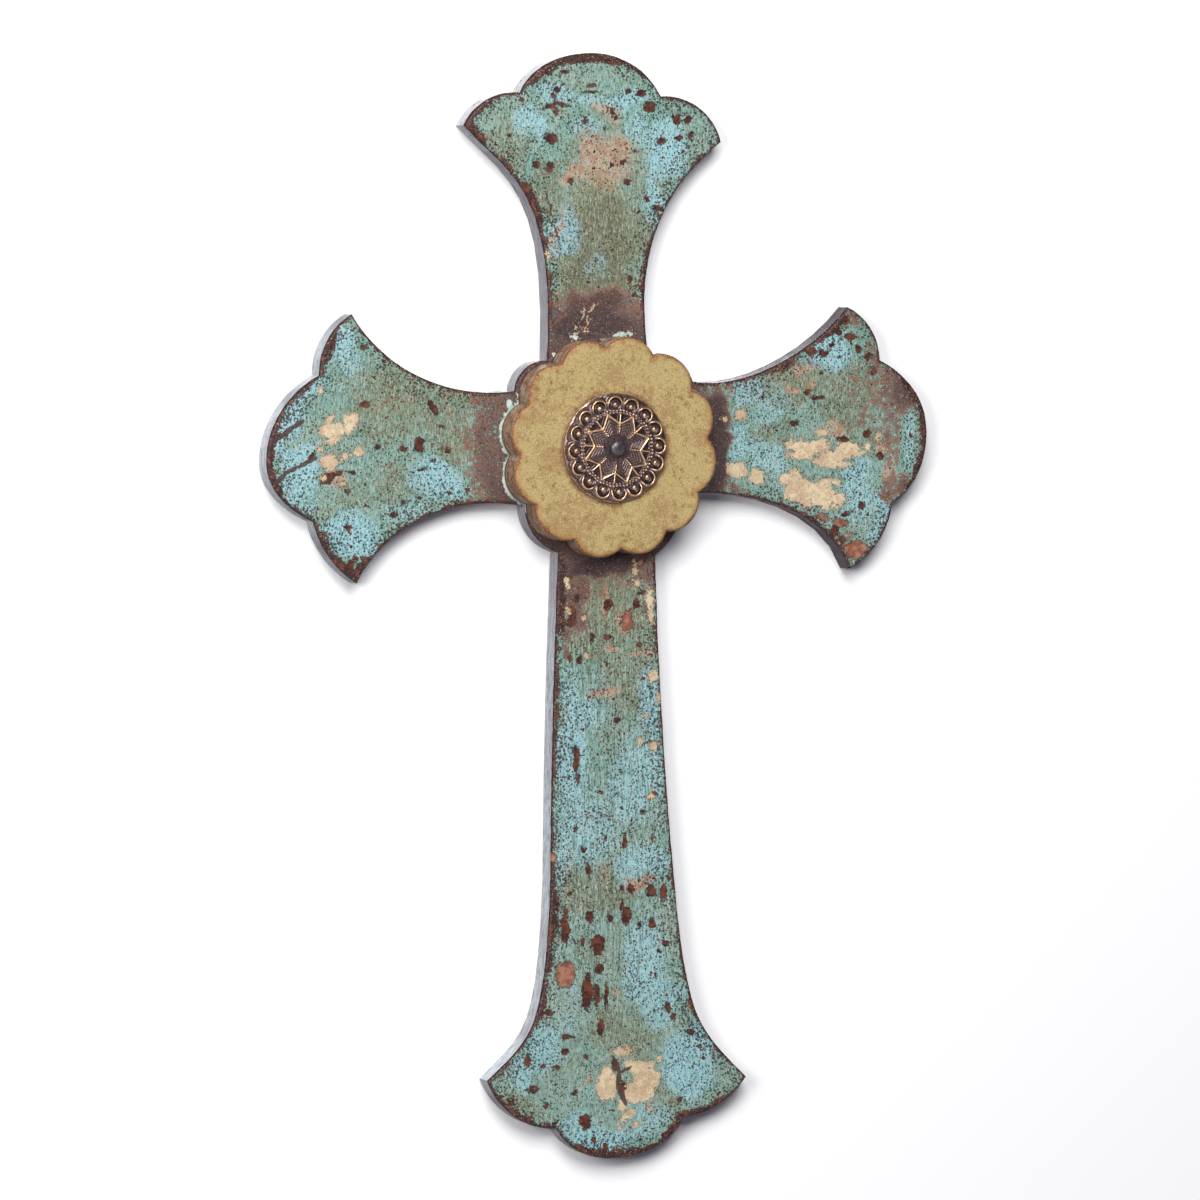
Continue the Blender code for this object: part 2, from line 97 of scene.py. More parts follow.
# Spots, each the place of its middle, its width and height, and its turn in degrees
# Bare dark wood
CHIPS = (
    (565, 71, 9, 6), (548, 73, 5, 5), (557, 89, 6, 5), (553, 96, 4, 5), (550, 106, 13, 4, 15),
    (562, 104, 16, 4, -10), (556, 112, 5, 8), (592, 86, 10, 3), (590, 92, 16, 2), (617, 118, 5, 5),
    (628, 92, 5, 5), (640, 93, 9, 8), (650, 107, 13, 10, -10), (678, 120, 8, 10), (688, 120, 8, 8),
    (662, 141, 8, 8), (678, 137, 8, 4), (692, 136, 5, 10, -20), (683, 152, 4, 6), (550, 138, 12, 10, -10),
    (536, 164, 7, 8), (550, 166, 6, 11), (623, 163, 6, 5), (611, 166, 4, 5), (627, 182, 6, 6),
    (613, 112, 4, 7), (658, 209, 12, 5, -20), (647, 200, 3, 5), (585, 122, 5, 5), (630, 279, 6, 7),
    (525, 188, 9, 14), (532, 203, 5, 12), (541, 222, 4, 9), (546, 243, 4, 8), (571, 182, 5, 6),
    (604, 128, 4, 4), (634, 152, 3, 4), (523, 100, 4, 4), (420, 445, 9, 17), (433, 408, 7, 15, 25),
    (403, 449, 8, 4), (422, 470, 10, 3), (432, 461, 6, 4), (441, 428, 5, 4), (403, 502, 7, 6),
    (418, 497, 4, 6), (394, 515, 6, 7), (364, 347, 6, 4), (383, 368, 5, 4), (408, 367, 5, 5),
    (347, 527, 5, 10, 20), (332, 475, 22, 7, 10), (325, 482, 8, 6), (353, 472, 6, 6), (348, 491, 5, 6),
    (467, 490, 5, 5), (349, 567, 9, 12), (356, 560, 6, 6), (343, 577, 5, 5), (330, 480, 6, 9),
    (377, 447, 5, 5), (365, 404, 7, 7), (447, 452, 4, 4), (312, 457, 6, 5), (763, 398, 5, 4),
    (818, 398, 13, 4), (795, 423, 8, 7), (807, 392, 7, 5), (746, 408, 3, 4), (811, 352, 11, 9, -20),
    (824, 354, 8, 6), (833, 345, 6, 6), (840, 333, 7, 8), (851, 337, 9, 7), (846, 322, 6, 7),
    (858, 349, 7, 9), (838, 358, 5, 4), (868, 356, 8, 9), (873, 372, 6, 8), (822, 372, 5, 4),
    (845, 440, 12, 5, -10), (868, 434, 10, 8), (880, 455, 8, 8), (861, 506, 7, 7), (846, 513, 9, 6),
    (835, 532, 9, 12, -20), (842, 541, 7, 8), (575, 750, 6, 12), (577, 764, 7, 20), (579, 778, 3, 9),
    (617, 720, 7, 7), (594, 635, 5, 6), (608, 638, 6, 6), (572, 612, 7, 12), (570, 622, 10, 10),
    (577, 598, 5, 10), (635, 605, 8, 10), (628, 630, 4, 4), (607, 605, 9, 11), (641, 592, 9, 6),
    (580, 660, 5, 9), (571, 658, 4, 5), (592, 640, 4, 9), (639, 645, 6, 4), (651, 795, 10, 5, 30),
    (643, 812, 6, 5, -40), (625, 840, 5, 14), (624, 845, 4, 7), (584, 850, 5, 8), (588, 870, 6, 14),
    (571, 893, 6, 4), (621, 888, 5, 11), (630, 889, 8, 9), (640, 880, 3, 5), (651, 891, 10, 13),
    (663, 891, 7, 14), (596, 846, 3, 4), (606, 837, 3, 4), (660, 807, 3, 5), (622, 905, 5, 10),
    (590, 917, 9, 12), (566, 917, 4, 14), (611, 918, 6, 9), (575, 830, 4, 5), (557, 905, 6, 16),
    (556, 925, 5, 20), (627, 916, 9, 19, -10), (653, 923, 8, 11), (640, 925, 3, 8), (666, 944, 7, 7),
    (658, 951, 5, 4), (565, 930, 8, 28), (582, 943, 3, 9), (598, 945, 12, 20), (599, 970, 10, 11),
    (587, 993, 11, 38, -3), (597, 995, 5, 25), (606, 996, 4, 22), (602, 1028, 7, 17), (667, 1007, 6, 13),
    (673, 1015, 6, 8), (692, 1032, 9, 6), (548, 1013, 12, 5), (567, 1037, 14, 4), (565, 1051, 7, 7),
    (557, 1066, 6, 5), (587, 1058, 4, 5), (575, 1093, 6, 5), (533, 1090, 11, 7), (542, 1067, 7, 4),
    (527, 1060, 6, 13), (585, 1122, 11, 15, 25), (595, 1141, 4, 9), (606, 1147, 6, 9), (513, 1101, 7, 6),
    (650, 1146, 9, 6), (665, 1135, 8, 6), (623, 1086, 10, 10), (615, 1065, 5, 12), (545, 1105, 5, 5),
    (700, 1045, 5, 5), (640, 1140, 4, 4), (555, 1125, 5, 5), (680, 1100, 5, 5),
)
# Bare orange wood
ORANGE = (
    (566, 974, 18, 26), (856, 549, 22, 19), (842, 522, 13, 8, -10), (822, 517, 18, 7, -15),
    (627, 622, 11, 20), (552, 856, 7, 8), (534, 1090, 5, 3), (640, 563, 5, 6), (632, 582, 8, 5),
)
# Cream undercoat
CREAM = (
    (350, 422, 14, 19), (338, 428, 14, 10), (326, 430, 16, 12), (330, 418, 8, 6), (333, 440, 16, 8),
    (358, 451, 10, 12, -20), (345, 458, 10, 7), (328, 459, 18, 12), (330, 468, 10, 6), (320, 449, 7, 6),
    (319, 390, 5, 5), (322, 478, 6, 5), (344, 485, 5, 4), (800, 453, 28, 12, 10), (818, 445, 20, 14),
    (833, 455, 24, 12, -10), (848, 447, 22, 10), (858, 452, 12, 7), (822, 432, 12, 7), (843, 464, 18, 7),
    (868, 446, 8, 8), (877, 437, 8, 6), (794, 480, 18, 22), (797, 494, 22, 16), (812, 489, 20, 14, -20),
    (826, 487, 18, 16), (837, 482, 12, 8), (826, 503, 18, 10), (835, 508, 10, 6), (808, 503, 12, 8),
    (786, 494, 8, 9), (736, 471, 19, 17), (757, 476, 17, 13), (740, 415, 9, 9), (723, 418, 6, 5),
    (746, 409, 4, 3), (607, 1084, 22, 34), (607, 1072, 14, 14), (622, 1051, 18, 9), (617, 1055, 12, 8),
    (640, 1068, 18, 14), (646, 1080, 26, 24), (636, 1088, 20, 16), (642, 1098, 20, 10), (630, 1064, 12, 9),
    (651, 1066, 8, 10), (652, 1092, 9, 12), (622, 1105, 10, 12), (625, 1118, 11, 8), (634, 1112, 6, 6),
    (620, 1127, 6, 4), (636, 1124, 7, 4), (649, 1109, 6, 5), (587, 1079, 7, 3, 30), (655, 1075, 6, 6),
    (659, 1060, 4, 5), (587, 322, 3, 16, -15), (577, 331, 4, 9), (592, 310, 3, 10, -40), (574, 337, 5, 5),
    (650, 601, 8, 24), (652, 616, 6, 12), (653, 675, 9, 12), (567, 584, 6, 12), (568, 612, 3, 9),
    (635, 571, 6, 7), (636, 583, 7, 6), (633, 563, 3, 3), (643, 714, 8, 4), (638, 741, 6, 6),
    (653, 746, 7, 10), (652, 796, 6, 7), (659, 698, 3, 8), (583, 618, 3, 4), (585, 655, 4, 5),
    (540, 200, 3, 5), (548, 255, 3, 8), (805, 447, 40, 14, -10), (828, 462, 34, 10, -10),
    (845, 452, 30, 12), (800, 490, 30, 26), (822, 496, 30, 20), (786, 478, 14, 14), (838, 500, 16, 12),
    (636, 1094, 24, 20), (330, 430, 22, 16), (330, 462, 20, 14),
)
# Pale mint paint round the medallion
MINT = (
    (509, 405, 8, 14), (625, 335, 24, 6), (603, 342, 7, 7), (573, 337, 9, 6), (555, 357, 5, 12),
)
# Soft areas, each the place of its middle, its width and height, and its strength
# Sky-blue paint
SKY = (
    (530, 125, 34, 40, 0.8), (560, 92, 40, 26, 0.7), (615, 105, 90, 22, 0.8), (668, 150, 50, 60, 1),
    (655, 200, 24, 60, 0.8), (560, 228, 44, 56, 0.9), (597, 262, 18, 40, 0.5), (585, 130, 40, 20, 0.6),
    (640, 130, 30, 30, 0.7), (290, 405, 44, 66, 1), (335, 335, 44, 50, 1), (345, 360, 50, 30, 0.7),
    (440, 482, 60, 46, 1), (300, 465, 50, 50, 1), (345, 535, 60, 50, 1), (365, 545, 40, 40, 0.8),
    (400, 515, 60, 30, 0.6), (275, 430, 20, 60, 1), (320, 350, 30, 30, 0.8), (425, 452, 40, 18, 0.4),
    (825, 350, 54, 44, 1), (800, 365, 40, 26, 0.6), (745, 395, 36, 34, 0.8), (735, 440, 26, 50, 0.7),
    (760, 450, 50, 40, 0.7), (858, 490, 50, 70, 0.8), (880, 515, 20, 60, 0.9), (850, 500, 50, 50, 0.6),
    (908, 440, 14, 60, 0.8), (780, 470, 30, 40, 0.6), (770, 405, 50, 40, 0.6), (575, 745, 36, 150, 1),
    (600, 700, 50, 80, 0.5), (650, 700, 26, 80, 1), (635, 780, 70, 110, 0.8), (590, 830, 60, 100, 0.8),
    (640, 865, 60, 50, 0.9), (560, 850, 20, 90, 0.9), (570, 690, 30, 60, 0.7), (648, 565, 30, 24, 0.9),
    (620, 560, 30, 16, 0.6), (645, 965, 50, 110, 0.9), (690, 1065, 50, 80, 1), (545, 1050, 50, 70, 0.8),
    (600, 1135, 70, 30, 1), (660, 1005, 50, 60, 0.8), (590, 930, 50, 50, 0.4), (520, 1080, 40, 40, 0.8),
    (575, 1010, 50, 70, 0.5), (700, 1040, 30, 50, 1), (650, 1120, 50, 30, 0.7), (600, 1100, 60, 40, 0.4),
    (300, 390, 50, 44, 0.9), (292, 498, 50, 60, 0.8), (345, 352, 40, 30, 0.7), (575, 1128, 60, 40, 0.7),
    (640, 1112, 50, 30, 0.7),
)
# Olive paint
OLIVE = (
    (500, 150, 50, 54, 0.7), (600, 225, 96, 110, 1), (545, 185, 50, 60, 0.8), (600, 125, 60, 30, 0.5),
    (640, 235, 40, 70, 0.8), (610, 280, 80, 40, 1), (565, 270, 30, 40, 0.7), (500, 120, 30, 30, 0.5),
    (575, 160, 40, 60, 0.6), (640, 170, 40, 50, 0.5), (410, 400, 150, 90, 0.8), (370, 375, 60, 50, 0.64),
    (460, 430, 50, 100, 0.8), (395, 487, 70, 50, 0.64), (470, 500, 40, 40, 0.4), (320, 510, 60, 30, 0.48),
    (420, 440, 60, 60, 0.48), (360, 500, 50, 40, 0.56), (440, 380, 80, 30, 0.64), (780, 385, 120, 56, 1),
    (851, 395, 80, 80, 0.8), (770, 430, 60, 30, 0.6), (860, 440, 60, 40, 0.7), (845, 420, 60, 40, 0.8),
    (770, 360, 60, 20, 0.8), (880, 350, 40, 60, 0.6), (605, 605, 110, 120, 1), (620, 685, 70, 60, 0.8),
    (600, 885, 110, 60, 0.9), (640, 650, 60, 60, 0.8), (615, 745, 40, 120, 0.5), (570, 640, 20, 60, 0.8),
    (600, 940, 60, 80, 0.5), (605, 800, 40, 60, 0.4), (560, 1060, 50, 50, 0.5), (630, 1035, 110, 60, 0.7),
    (660, 1100, 50, 50, 0.6), (540, 1010, 30, 50, 0.6), (520, 1110, 50, 30, 0.6), (600, 1110, 60, 30, 0.5),
    (600, 1015, 60, 50, 0.5), (590, 272, 80, 40, 1.4), (600, 590, 90, 40, 1.3), (590, 288, 90, 60, 1.5),
    (594, 236, 90, 90, 1.5),
)
# Thin paint with tan undercoat under it
TAN = (
    (604, 165, 64, 62, 1), (590, 150, 30, 30, 1), (618, 150, 26, 40, 1), (573, 178, 20, 24, 1),
    (566, 183, 16, 16, 1), (606, 112, 40, 16, 1), (617, 120, 12, 14, 1), (789, 391, 16, 12, 1),
    (797, 370, 26, 14, 1), (813, 386, 12, 8, 1), (628, 620, 14, 30, 1), (640, 653, 40, 8, 1),
    (612, 648, 18, 6, 1), (606, 600, 10, 40, 1), (605, 690, 44, 10, 1), (836, 432, 30, 16, 1),
    (604, 870, 16, 30, 0.5), (640, 883, 30, 18, 1), (566, 1000, 30, 40, 0.35), (648, 933, 14, 14, 0.35),
    (618, 995, 8, 14, 1), (660, 930, 20, 40, 0.35), (565, 870, 16, 60, 0.5), (392, 404, 60, 14, 0.4),
    (448, 410, 12, 30, 0.35), (565, 325, 14, 20, 1), (575, 345, 30, 12, 1), (556, 225, 10, 50, 1),
    (340, 485, 26, 14, 1), (602, 480, 10, 10, 1), (890, 468, 18, 26, 1), (880, 445, 22, 20, 1),
    (895, 482, 14, 18, 1),
)
# Paint rubbed away to dark stained wood
DARK = (
    (588, 325, 80, 56, 1.45), (640, 318, 34, 50, 0.8), (545, 312, 20, 40, 1), (492, 420, 40, 140, 1),
    (500, 470, 40, 110, 1), (474, 405, 20, 60, 0.7), (717, 440, 30, 130, 1.25), (730, 380, 24, 40, 0.7),
    (730, 505, 26, 40, 0.9), (600, 565, 110, 30, 1.35), (575, 600, 22, 80, 0.9), (565, 590, 18, 60, 1),
    (562, 640, 12, 60, 0.8), (649, 590, 16, 70, 0.8), (885, 340, 40, 60, 0.7), (908, 380, 44, 90, 1),
    (915, 470, 24, 110, 0.8), (895, 500, 26, 60, 0.8), (852, 325, 30, 22, 0.7), (900, 350, 30, 40, 0.9),
    (870, 420, 30, 60, 0.5), (640, 600, 30, 50, 0.4), (845, 540, 40, 24, 0.5), (862, 560, 30, 24, 0.6),
    (610, 575, 60, 16, 0.6), (904, 383, 64, 76, 0.85), (929, 430, 22, 150, 0.95), (914, 492, 40, 44, 0.9),
    (892, 440, 26, 90, 0.62), (880, 385, 56, 80, 0.6), (858, 385, 44, 44, 0.45), (914, 384, 34, 70, 1.1),
    (925, 400, 20, 60, 1), (770, 366, 100, 12, 0.5), (588, 330, 100, 40, 1.4), (590, 304, 96, 44, 1.1),
)
# Whiter wash on the side walls
WASH = (
    (470, 110, 90, 90, 1.2), (500, 75, 100, 70, 1.2), (545, 60, 90, 36, 1.1), (450, 128, 50, 50, 1),
    (262, 460, 70, 170, 0.95), (300, 335, 70, 130, 0.75), (285, 530, 70, 120, 0.75),
    (330, 575, 70, 50, 0.6), (545, 680, 40, 160, 0.35), (545, 850, 50, 200, 0.55), (530, 960, 50, 160, 0.5),
    (500, 1060, 70, 70, 0.5), (520, 1120, 70, 50, 0.35), (485, 1085, 30, 40, 0.5),
    (560, 1140, 50, 30, 0.35), (500, 190, 60, 120, 0.3), (530, 260, 40, 120, 0.22),
    (550, 760, 70, 360, 0.42), (520, 380, 40, 60, 0.15),
)
# Wider rubbed edges
WORN = (
    (590, 60, 120, 22, 1), (545, 78, 40, 30, 0.8), (480, 128, 30, 30, 0.6), (270, 450, 30, 150, 0.55),
    (325, 345, 30, 50, 0.9), (300, 385, 20, 30, 0.6), (350, 568, 40, 40, 0.9), (565, 610, 20, 120, 0.9),
    (560, 700, 12, 90, 0.3), (528, 195, 24, 90, 0.7), (640, 265, 20, 60, 0.5), (770, 372, 90, 16, 0.7),
    (835, 335, 50, 30, 0.7), (780, 520, 90, 20, 0.6), (680, 1115, 90, 50, 0.7), (610, 1150, 90, 30, 0.8),
    (530, 1110, 60, 30, 0.4), (558, 930, 16, 120, 0.6), (545, 1000, 20, 60, 0.5), (690, 990, 20, 90, 0.3),
    (560, 80, 50, 20, 0.6), (651, 75, 40, 20, 0.4), (480, 110, 30, 30, 0.5), (700, 135, 20, 30, 0.3),
    (915, 420, 30, 160, 0.7), (340, 540, 40, 30, 0.4),
)
# Side walls made darker: over the right arm, along the right side of the shaft and of the top arm, and most
# strongly along the right arm's lower edge
DARKER_WALLS = (
    (770, 370, 110, 60, 0.8), (830, 320, 60, 70, 0.7), (790, 525, 120, 60, 1.1), (840, 560, 60, 60, 1.1),
    (600, 300, 30, 80, 0.4), (880, 450, 220, 420, 0.8), (695, 820, 70, 760, 0.6), (690, 180, 90, 300, 0.6),
)
# Paint left on the dark stained wood
PAINT_LEFT = (
    (495, 425, 34, 110, 0.12), (911, 441, 20, 62, 0.9), (880, 470, 16, 20, 0.3),
)
# Width of the line of mint paint along the medallion's left foot
MINT_WIDTH = 1.25
# How far the dark ring round the medallion reaches from its middle
HUB_LEFT, HUB_RIGHT, HUB_ABOVE, HUB_BELOW = 63.0, 53.0, 66.0, 60.0
# Scratches, each its width in millimetres and then the pixels that it runs through
DARK_SCRATCHES = (
    (2.6, (270, 446), (277, 440), (285, 434), (294, 427), (303, 422)),
    (2.2, (275, 484), (286, 474), (300, 466), (317, 457)),
    (2.4, (613, 1056), (619, 1072), (617, 1086), (626, 1104)),
    (1.4, (619, 1072), (633, 1066)),
    (1, (560, 250), (552, 215), (545, 190)),
    (0.8, (391, 410), (397, 402)),
)
PALE_SCRATCHES = (
    (0.9, (575, 332), (578, 324), (584, 316), (585, 307)),
    (0.8, (584, 316), (580, 310)),
    (0.6, (315, 404), (335, 388), (357, 374)),
    (0.5, (300, 400), (322, 385)),
    (0.6, (612, 695), (643, 682)),
    (0.5, (618, 782), (640, 760)),
    (0.5, (615, 770), (650, 735)),
    (0.5, (566, 900), (571, 885)),
)


def camera_axes():
    """The camera's directions to the right, up and back."""
    azimuth, elevation = radians(CAMERA_AZIMUTH_DEG), radians(CAMERA_ELEVATION_DEG)
    roll = radians(CAMERA_ROLL_DEG)
    right = Vector((cos(azimuth), sin(azimuth), 0))
    forward = Vector((-sin(azimuth) * cos(elevation), cos(azimuth) * cos(elevation), -sin(elevation)))
    up = right.cross(forward)
    return right * cos(roll) - up * sin(roll), right * sin(roll) + up * cos(roll), -forward


def photo_place(x, y, step):
    """Where a pixel of the photo lies on the board's face, across and up in millimetres."""
    right, up, back = camera_axes()
    slope = CAMERA_SENSOR / CAMERA_LENS / PHOTO_PIXELS
    ray = right * (x - PHOTO_PIXELS / 2) * slope + up * (PHOTO_PIXELS / 2 - y) * slope - back
    start = CAMERA_TARGET + back * CAMERA_DISTANCE
    place = start + ray * ((-BOARD_DEPTH * MM - start.y) / ray.y)
    return to_step(place.x / MM, step), to_step(place.z / MM + HANG_HEIGHT, step)


def to_step(value, step):
    return round(value / step) * step


def on_board(marks, step):
    """Marks with their places and sizes in millimetres on the board's face, and the rest as it is."""
    for x, y, width, height, *rest in marks:
        across, up = photo_place(x, y, step)
        wide = max(to_step(width * PIXEL_ACROSS, step), SMALLEST_MARK)
        high = max(to_step(height * PIXEL_UP, step), SMALLEST_MARK)
        yield across, up, wide, high, *rest


def lattice_noise(points, size, seed):
    """Smooth noise from -1 to 1 that changes over the given size."""
    cells = 64
    table = np.random.default_rng(seed).uniform(-1, 1, (cells, cells))
    place = points / size + seed * 0.37
    low = np.floor(place).astype(int)
    share = place - low
    share = share * share * (3 - 2 * share)
    across, up = low[:, 0] % cells, low[:, 1] % cells
    after, above = (across + 1) % cells, (up + 1) % cells
    lower = table[across, up] * (1 - share[:, 0]) + table[after, up] * share[:, 0]
    upper = table[across, above] * (1 - share[:, 0]) + table[after, above] * share[:, 0]
    return lower * (1 - share[:, 1]) + upper * share[:, 1]


def rough_noise(points, size, seed):
    return (
        lattice_noise(points, size, seed)
        + 0.5 * lattice_noise(points, size / 2.1, seed + 1)
        + 0.25 * lattice_noise(points, size / 4.3, seed + 2)
    ) / 1.4


def smooth_step(value, low, high):
    share = np.clip((value - low) / (high - low), 0, 1)
    return share * share * (3 - 2 * share)


def warped(points, size, reach, seed):
    """The points moved about by noise, so that shapes drawn on them come out uneven."""
    shift = np.stack([rough_noise(points, size, seed), rough_noise(points, size, seed + 5)], 1)
    return points + shift * reach


def spot_depth(points, spots):
    """How far inside the nearest spot each point is, in millimetres, less than 0 outside."""
    best = np.full(len(points), -4.0)
    for across, up, width, height, *turned in on_board(spots, SPOT_STEP):
        angle = radians(turned[0] if turned else 0)
        gap = points - (across, up)
        near = np.nonzero(np.abs(gap).max(1) < max(width, height) / 2 + 4)[0]
        along = gap[near] @ (cos(angle), sin(angle))
        over = gap[near] @ (-sin(angle), cos(angle))
        reach = np.hypot(along / width * 2, over / height * 2)
        depth = (1 - reach) * min(width, height) / 2
        best[near] = np.maximum(best[near], depth)
    return best


def soft_cover(points, areas):
    """How strongly soft round areas cover each point, from 0 to 1."""
    cover = np.zeros(len(points))
    for across, up, width, height, strength in on_board(areas, AREA_STEP):
        reach = np.hypot((points[:, 0] - across) / width * 2, (points[:, 1] - up) / height * 2)
        cover = np.maximum(cover, strength * (1 - smooth_step(reach, 0.5, 1.35)))
    return cover


def hub_darkness(points):
    """The dark ring that the medallion leaves round itself, wider along some arms than others."""
    distance = np.hypot(*points.T)
    sideways = (points[:, 0] / np.maximum(distance, 1e-6)) ** 2
    across = np.where(points[:, 0] < 0, HUB_LEFT, HUB_RIGHT)
    along = np.where(points[:, 1] < 0, HUB_BELOW, HUB_ABOVE)
    return 1.05 * (1 - smooth_step(distance / (sideways * across + (1 - sideways) * along), 0.84, 1.24))


def mint_line(points):
    """Depth inside the thin line of pale paint along the left foot of the medallion, in millimetres."""
    best = np.full(len(points), -4.0)
    near = np.nonzero((np.hypot(*points.T) < 62) & (points[:, 0] < -30))[0]
    side = np.degrees(np.arctan2(points[near, 1], -points[near, 0]))
    width = MINT_WIDTH * smooth_step(side, -42, -30) * (1 - smooth_step(side, 24, 38))
    best[near] = width - outline_distance(points[near], back_outline("medallion")) - 1.5 * (width < 0.3)
    return best


def line_depth(points, lines):
    """How far inside the nearest line each point is, in millimetres."""
    best = np.full(len(points), -4.0)
    for width, *pixels in lines:
        path = np.array([photo_place(x, y, SPOT_STEP) for x, y in pixels])
        for start, end in zip(path, path[1:]):
            along = end - start
            gap = points - start
            share = np.clip(gap @ along / (along @ along), 0, 1)
            distance = np.hypot(*(gap - share[:, None] * along).T)
            taper = width / 2 * (0.6 + 0.4 * np.sin(pi * share))
            best = np.maximum(best, taper - distance)
    return best


def outline_distance(points, outline):
    """The distance from each point to a closed outline."""
    step = np.roll(outline, -1, 0) - outline
    length = (step ** 2).sum(1)
    best = np.empty(len(points))
    block = 1500
    for low in range(0, len(points), block):
        gap = points[low:low + block, None] - outline
        share = np.clip((gap * step).sum(2) / length, 0, 1)
        gap -= share[..., None] * step
        best[low:low + block] = np.sqrt((gap ** 2).sum(2).min(1))
    return best


def back_outline(node):
    """The outline of a node's flat back, across and up in millimetres, clockwise seen from the front."""
    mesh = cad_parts[node].data
    bm = bmesh.new()
    bm.from_mesh(mesh)
    bmesh.ops.remove_doubles(bm, verts=bm.verts, dist=1e-6)
    level = max(vert.co.y for vert in bm.verts)
    flat = {face for face in bm.faces if min(vert.co.y for vert in face.verts) > level - 1e-5}
    after = {}
    for edge in bm.edges:
        if sum(face in flat for face in edge.link_faces) == 1:
            first, last = edge.verts
            after.setdefault(first, []).append(last)
            after.setdefault(last, []).append(first)
    loops = []
    seen = set()
    for start in after:
        if start in seen:
            continue
        loop = [start]
        seen.add(start)
        while True:
            onward = [vert for vert in after[loop[-1]] if vert not in seen]
            if not onward:
                break
            loop.append(onward[0])
            seen.add(onward[0])
        loops.append(loop)
    longest = max(loops, key=len)
    points = np.array([(vert.co.x / MM, vert.co.z / MM + HANG_HEIGHT) for vert in longest])
    bm.free()
    after_points = np.roll(points, -1, 0)
    area = (points[:, 0] * after_points[:, 1] - after_points[:, 0] * points[:, 1]).sum()
    return points if area < 0 else points[::-1]


def smooth_outline(points, spacing):
    """A closed outline drawn again with close points, smooth between its corners."""
    before, after = points - np.roll(points, 1, 0), np.roll(points, -1, 0) - points
    cross = before[:, 0] * after[:, 1] - before[:, 1] * after[:, 0]
    turned = np.abs(np.arctan2(cross, (before * after).sum(1)))
    corners = np.nonzero(turned > radians(24))[0]
    result = []
    for first, last in zip(corners, np.append(corners[1:], corners[0] + len(points))):
        run = points[np.arange(first, last + 1) % len(points)]
        if len(run) < 3:
            head, tail = 2 * run[0] - run[1], 2 * run[-1] - run[-2]
        else:
            head, tail = 3 * run[0] - 3 * run[1] + run[2], 3 * run[-1] - 3 * run[-2] + run[-3]
        padded = np.vstack([head, run, tail])
        for index in range(1, len(padded) - 2):
            p0, p1, p2, p3 = padded[index - 1:index + 3]
            steps = max(1, ceil(np.hypot(*(p2 - p1)) / spacing))
            for step in range(steps):
                t = step / steps
                result.append(
                    p1 + t * (p2 - p0) / 2
                    + t * t * (p0 - 2.5 * p1 + 2 * p2 - p3 / 2)
                    + t ** 3 * (1.5 * p1 - p0 / 2 - 1.5 * p2 + p3 / 2)
                )
    return np.array(result)


def inward_normals(outline):
    """For a clockwise outline, the direction into it at each point."""
    along = np.roll(outline, -1, 0) - np.roll(outline, 1, 0)
    along /= np.hypot(*along.T)[:, None]
    return np.stack([along[:, 1], -along[:, 0]], 1)


def lattice_points(outline, spacing):
    """Points inside the outline in staggered rows."""
    start, end = outline, np.roll(outline, -1, 0)
    rows = []
    for row, up in enumerate(np.arange(outline[:, 1].min(), outline[:, 1].max(), spacing * sqrt(0.75))):
        crossing = (start[:, 1] <= up) != (end[:, 1] <= up)
        low, high = start[crossing], end[crossing]
        across = np.sort(low[:, 0] + (up - low[:, 1]) / (high[:, 1] - low[:, 1]) * (high[:, 0] - low[:, 0]))
        for left, right in zip(across[::2], across[1::2]):
            first = ceil(left / spacing - row % 2 / 2)
            places = (np.arange(first, right / spacing - row % 2 / 2) + row % 2 / 2) * spacing
            rows.append(np.stack([places, np.full(len(places), up)], 1))
    return np.vstack(rows)


def face_points(outline, insets, spacing):
    """The outline, rows of points inside it that follow its edge, and a lattice over the rest."""
    coarse = outline[::2]
    inward = inward_normals(outline)
    layers = [outline]
    for inset in insets:
        row = outline + inward * inset
        layers.append(row[outline_distance(row, coarse) > inset * 0.94])
    rest = lattice_points(outline, spacing)
    layers.append(rest[outline_distance(rest, coarse) > insets[-1] + spacing * 0.6])
    return np.vstack(layers)


def panel(outline, insets, spacing, wall_heights, wobble):
    """The face and walls of a board: points across and up, wall heights, distances from the edge, faces."""
    points = face_points(outline, insets, spacing)
    count = len(outline)
    loop = [(index, (index + 1) % count) for index in range(count)]
    made = delaunay_2d_cdt([Vector(point) for point in points], loop, [list(range(count))], 1, 1e-5)
    places, triangles, sources = np.array([tuple(vert) for vert in made[0]]), made[2], made[3]
    edge = outline_distance(places, outline[::2])
    rim = np.full(count, -1)
    for index, source in enumerate(sources):
        if source and source[0] < count:
            rim[source[0]] = index
            edge[index] = 0
    faces = [tuple(triangle) for triangle in triangles]
    walls = [np.full(len(places), np.nan)]
    inward = inward_normals(outline)
    rows, all_places, all_edges = [rim], [places], [edge]
    for height in wall_heights:
        rows.append(np.arange(count) + sum(len(part) for part in all_places))
        shift = wobble(outline, height)
        all_places.append(outline + inward * shift[:, None])
        all_edges.append(np.zeros(count))
        walls.append(np.full(count, height))
    for upper, lower in zip(rows, rows[1:]):
        for index in range(count):
            after = (index + 1) % count
            faces.append((upper[index], lower[index], lower[after], upper[after]))
    return np.vstack(all_places), np.concatenate(walls), np.concatenate(all_edges), faces


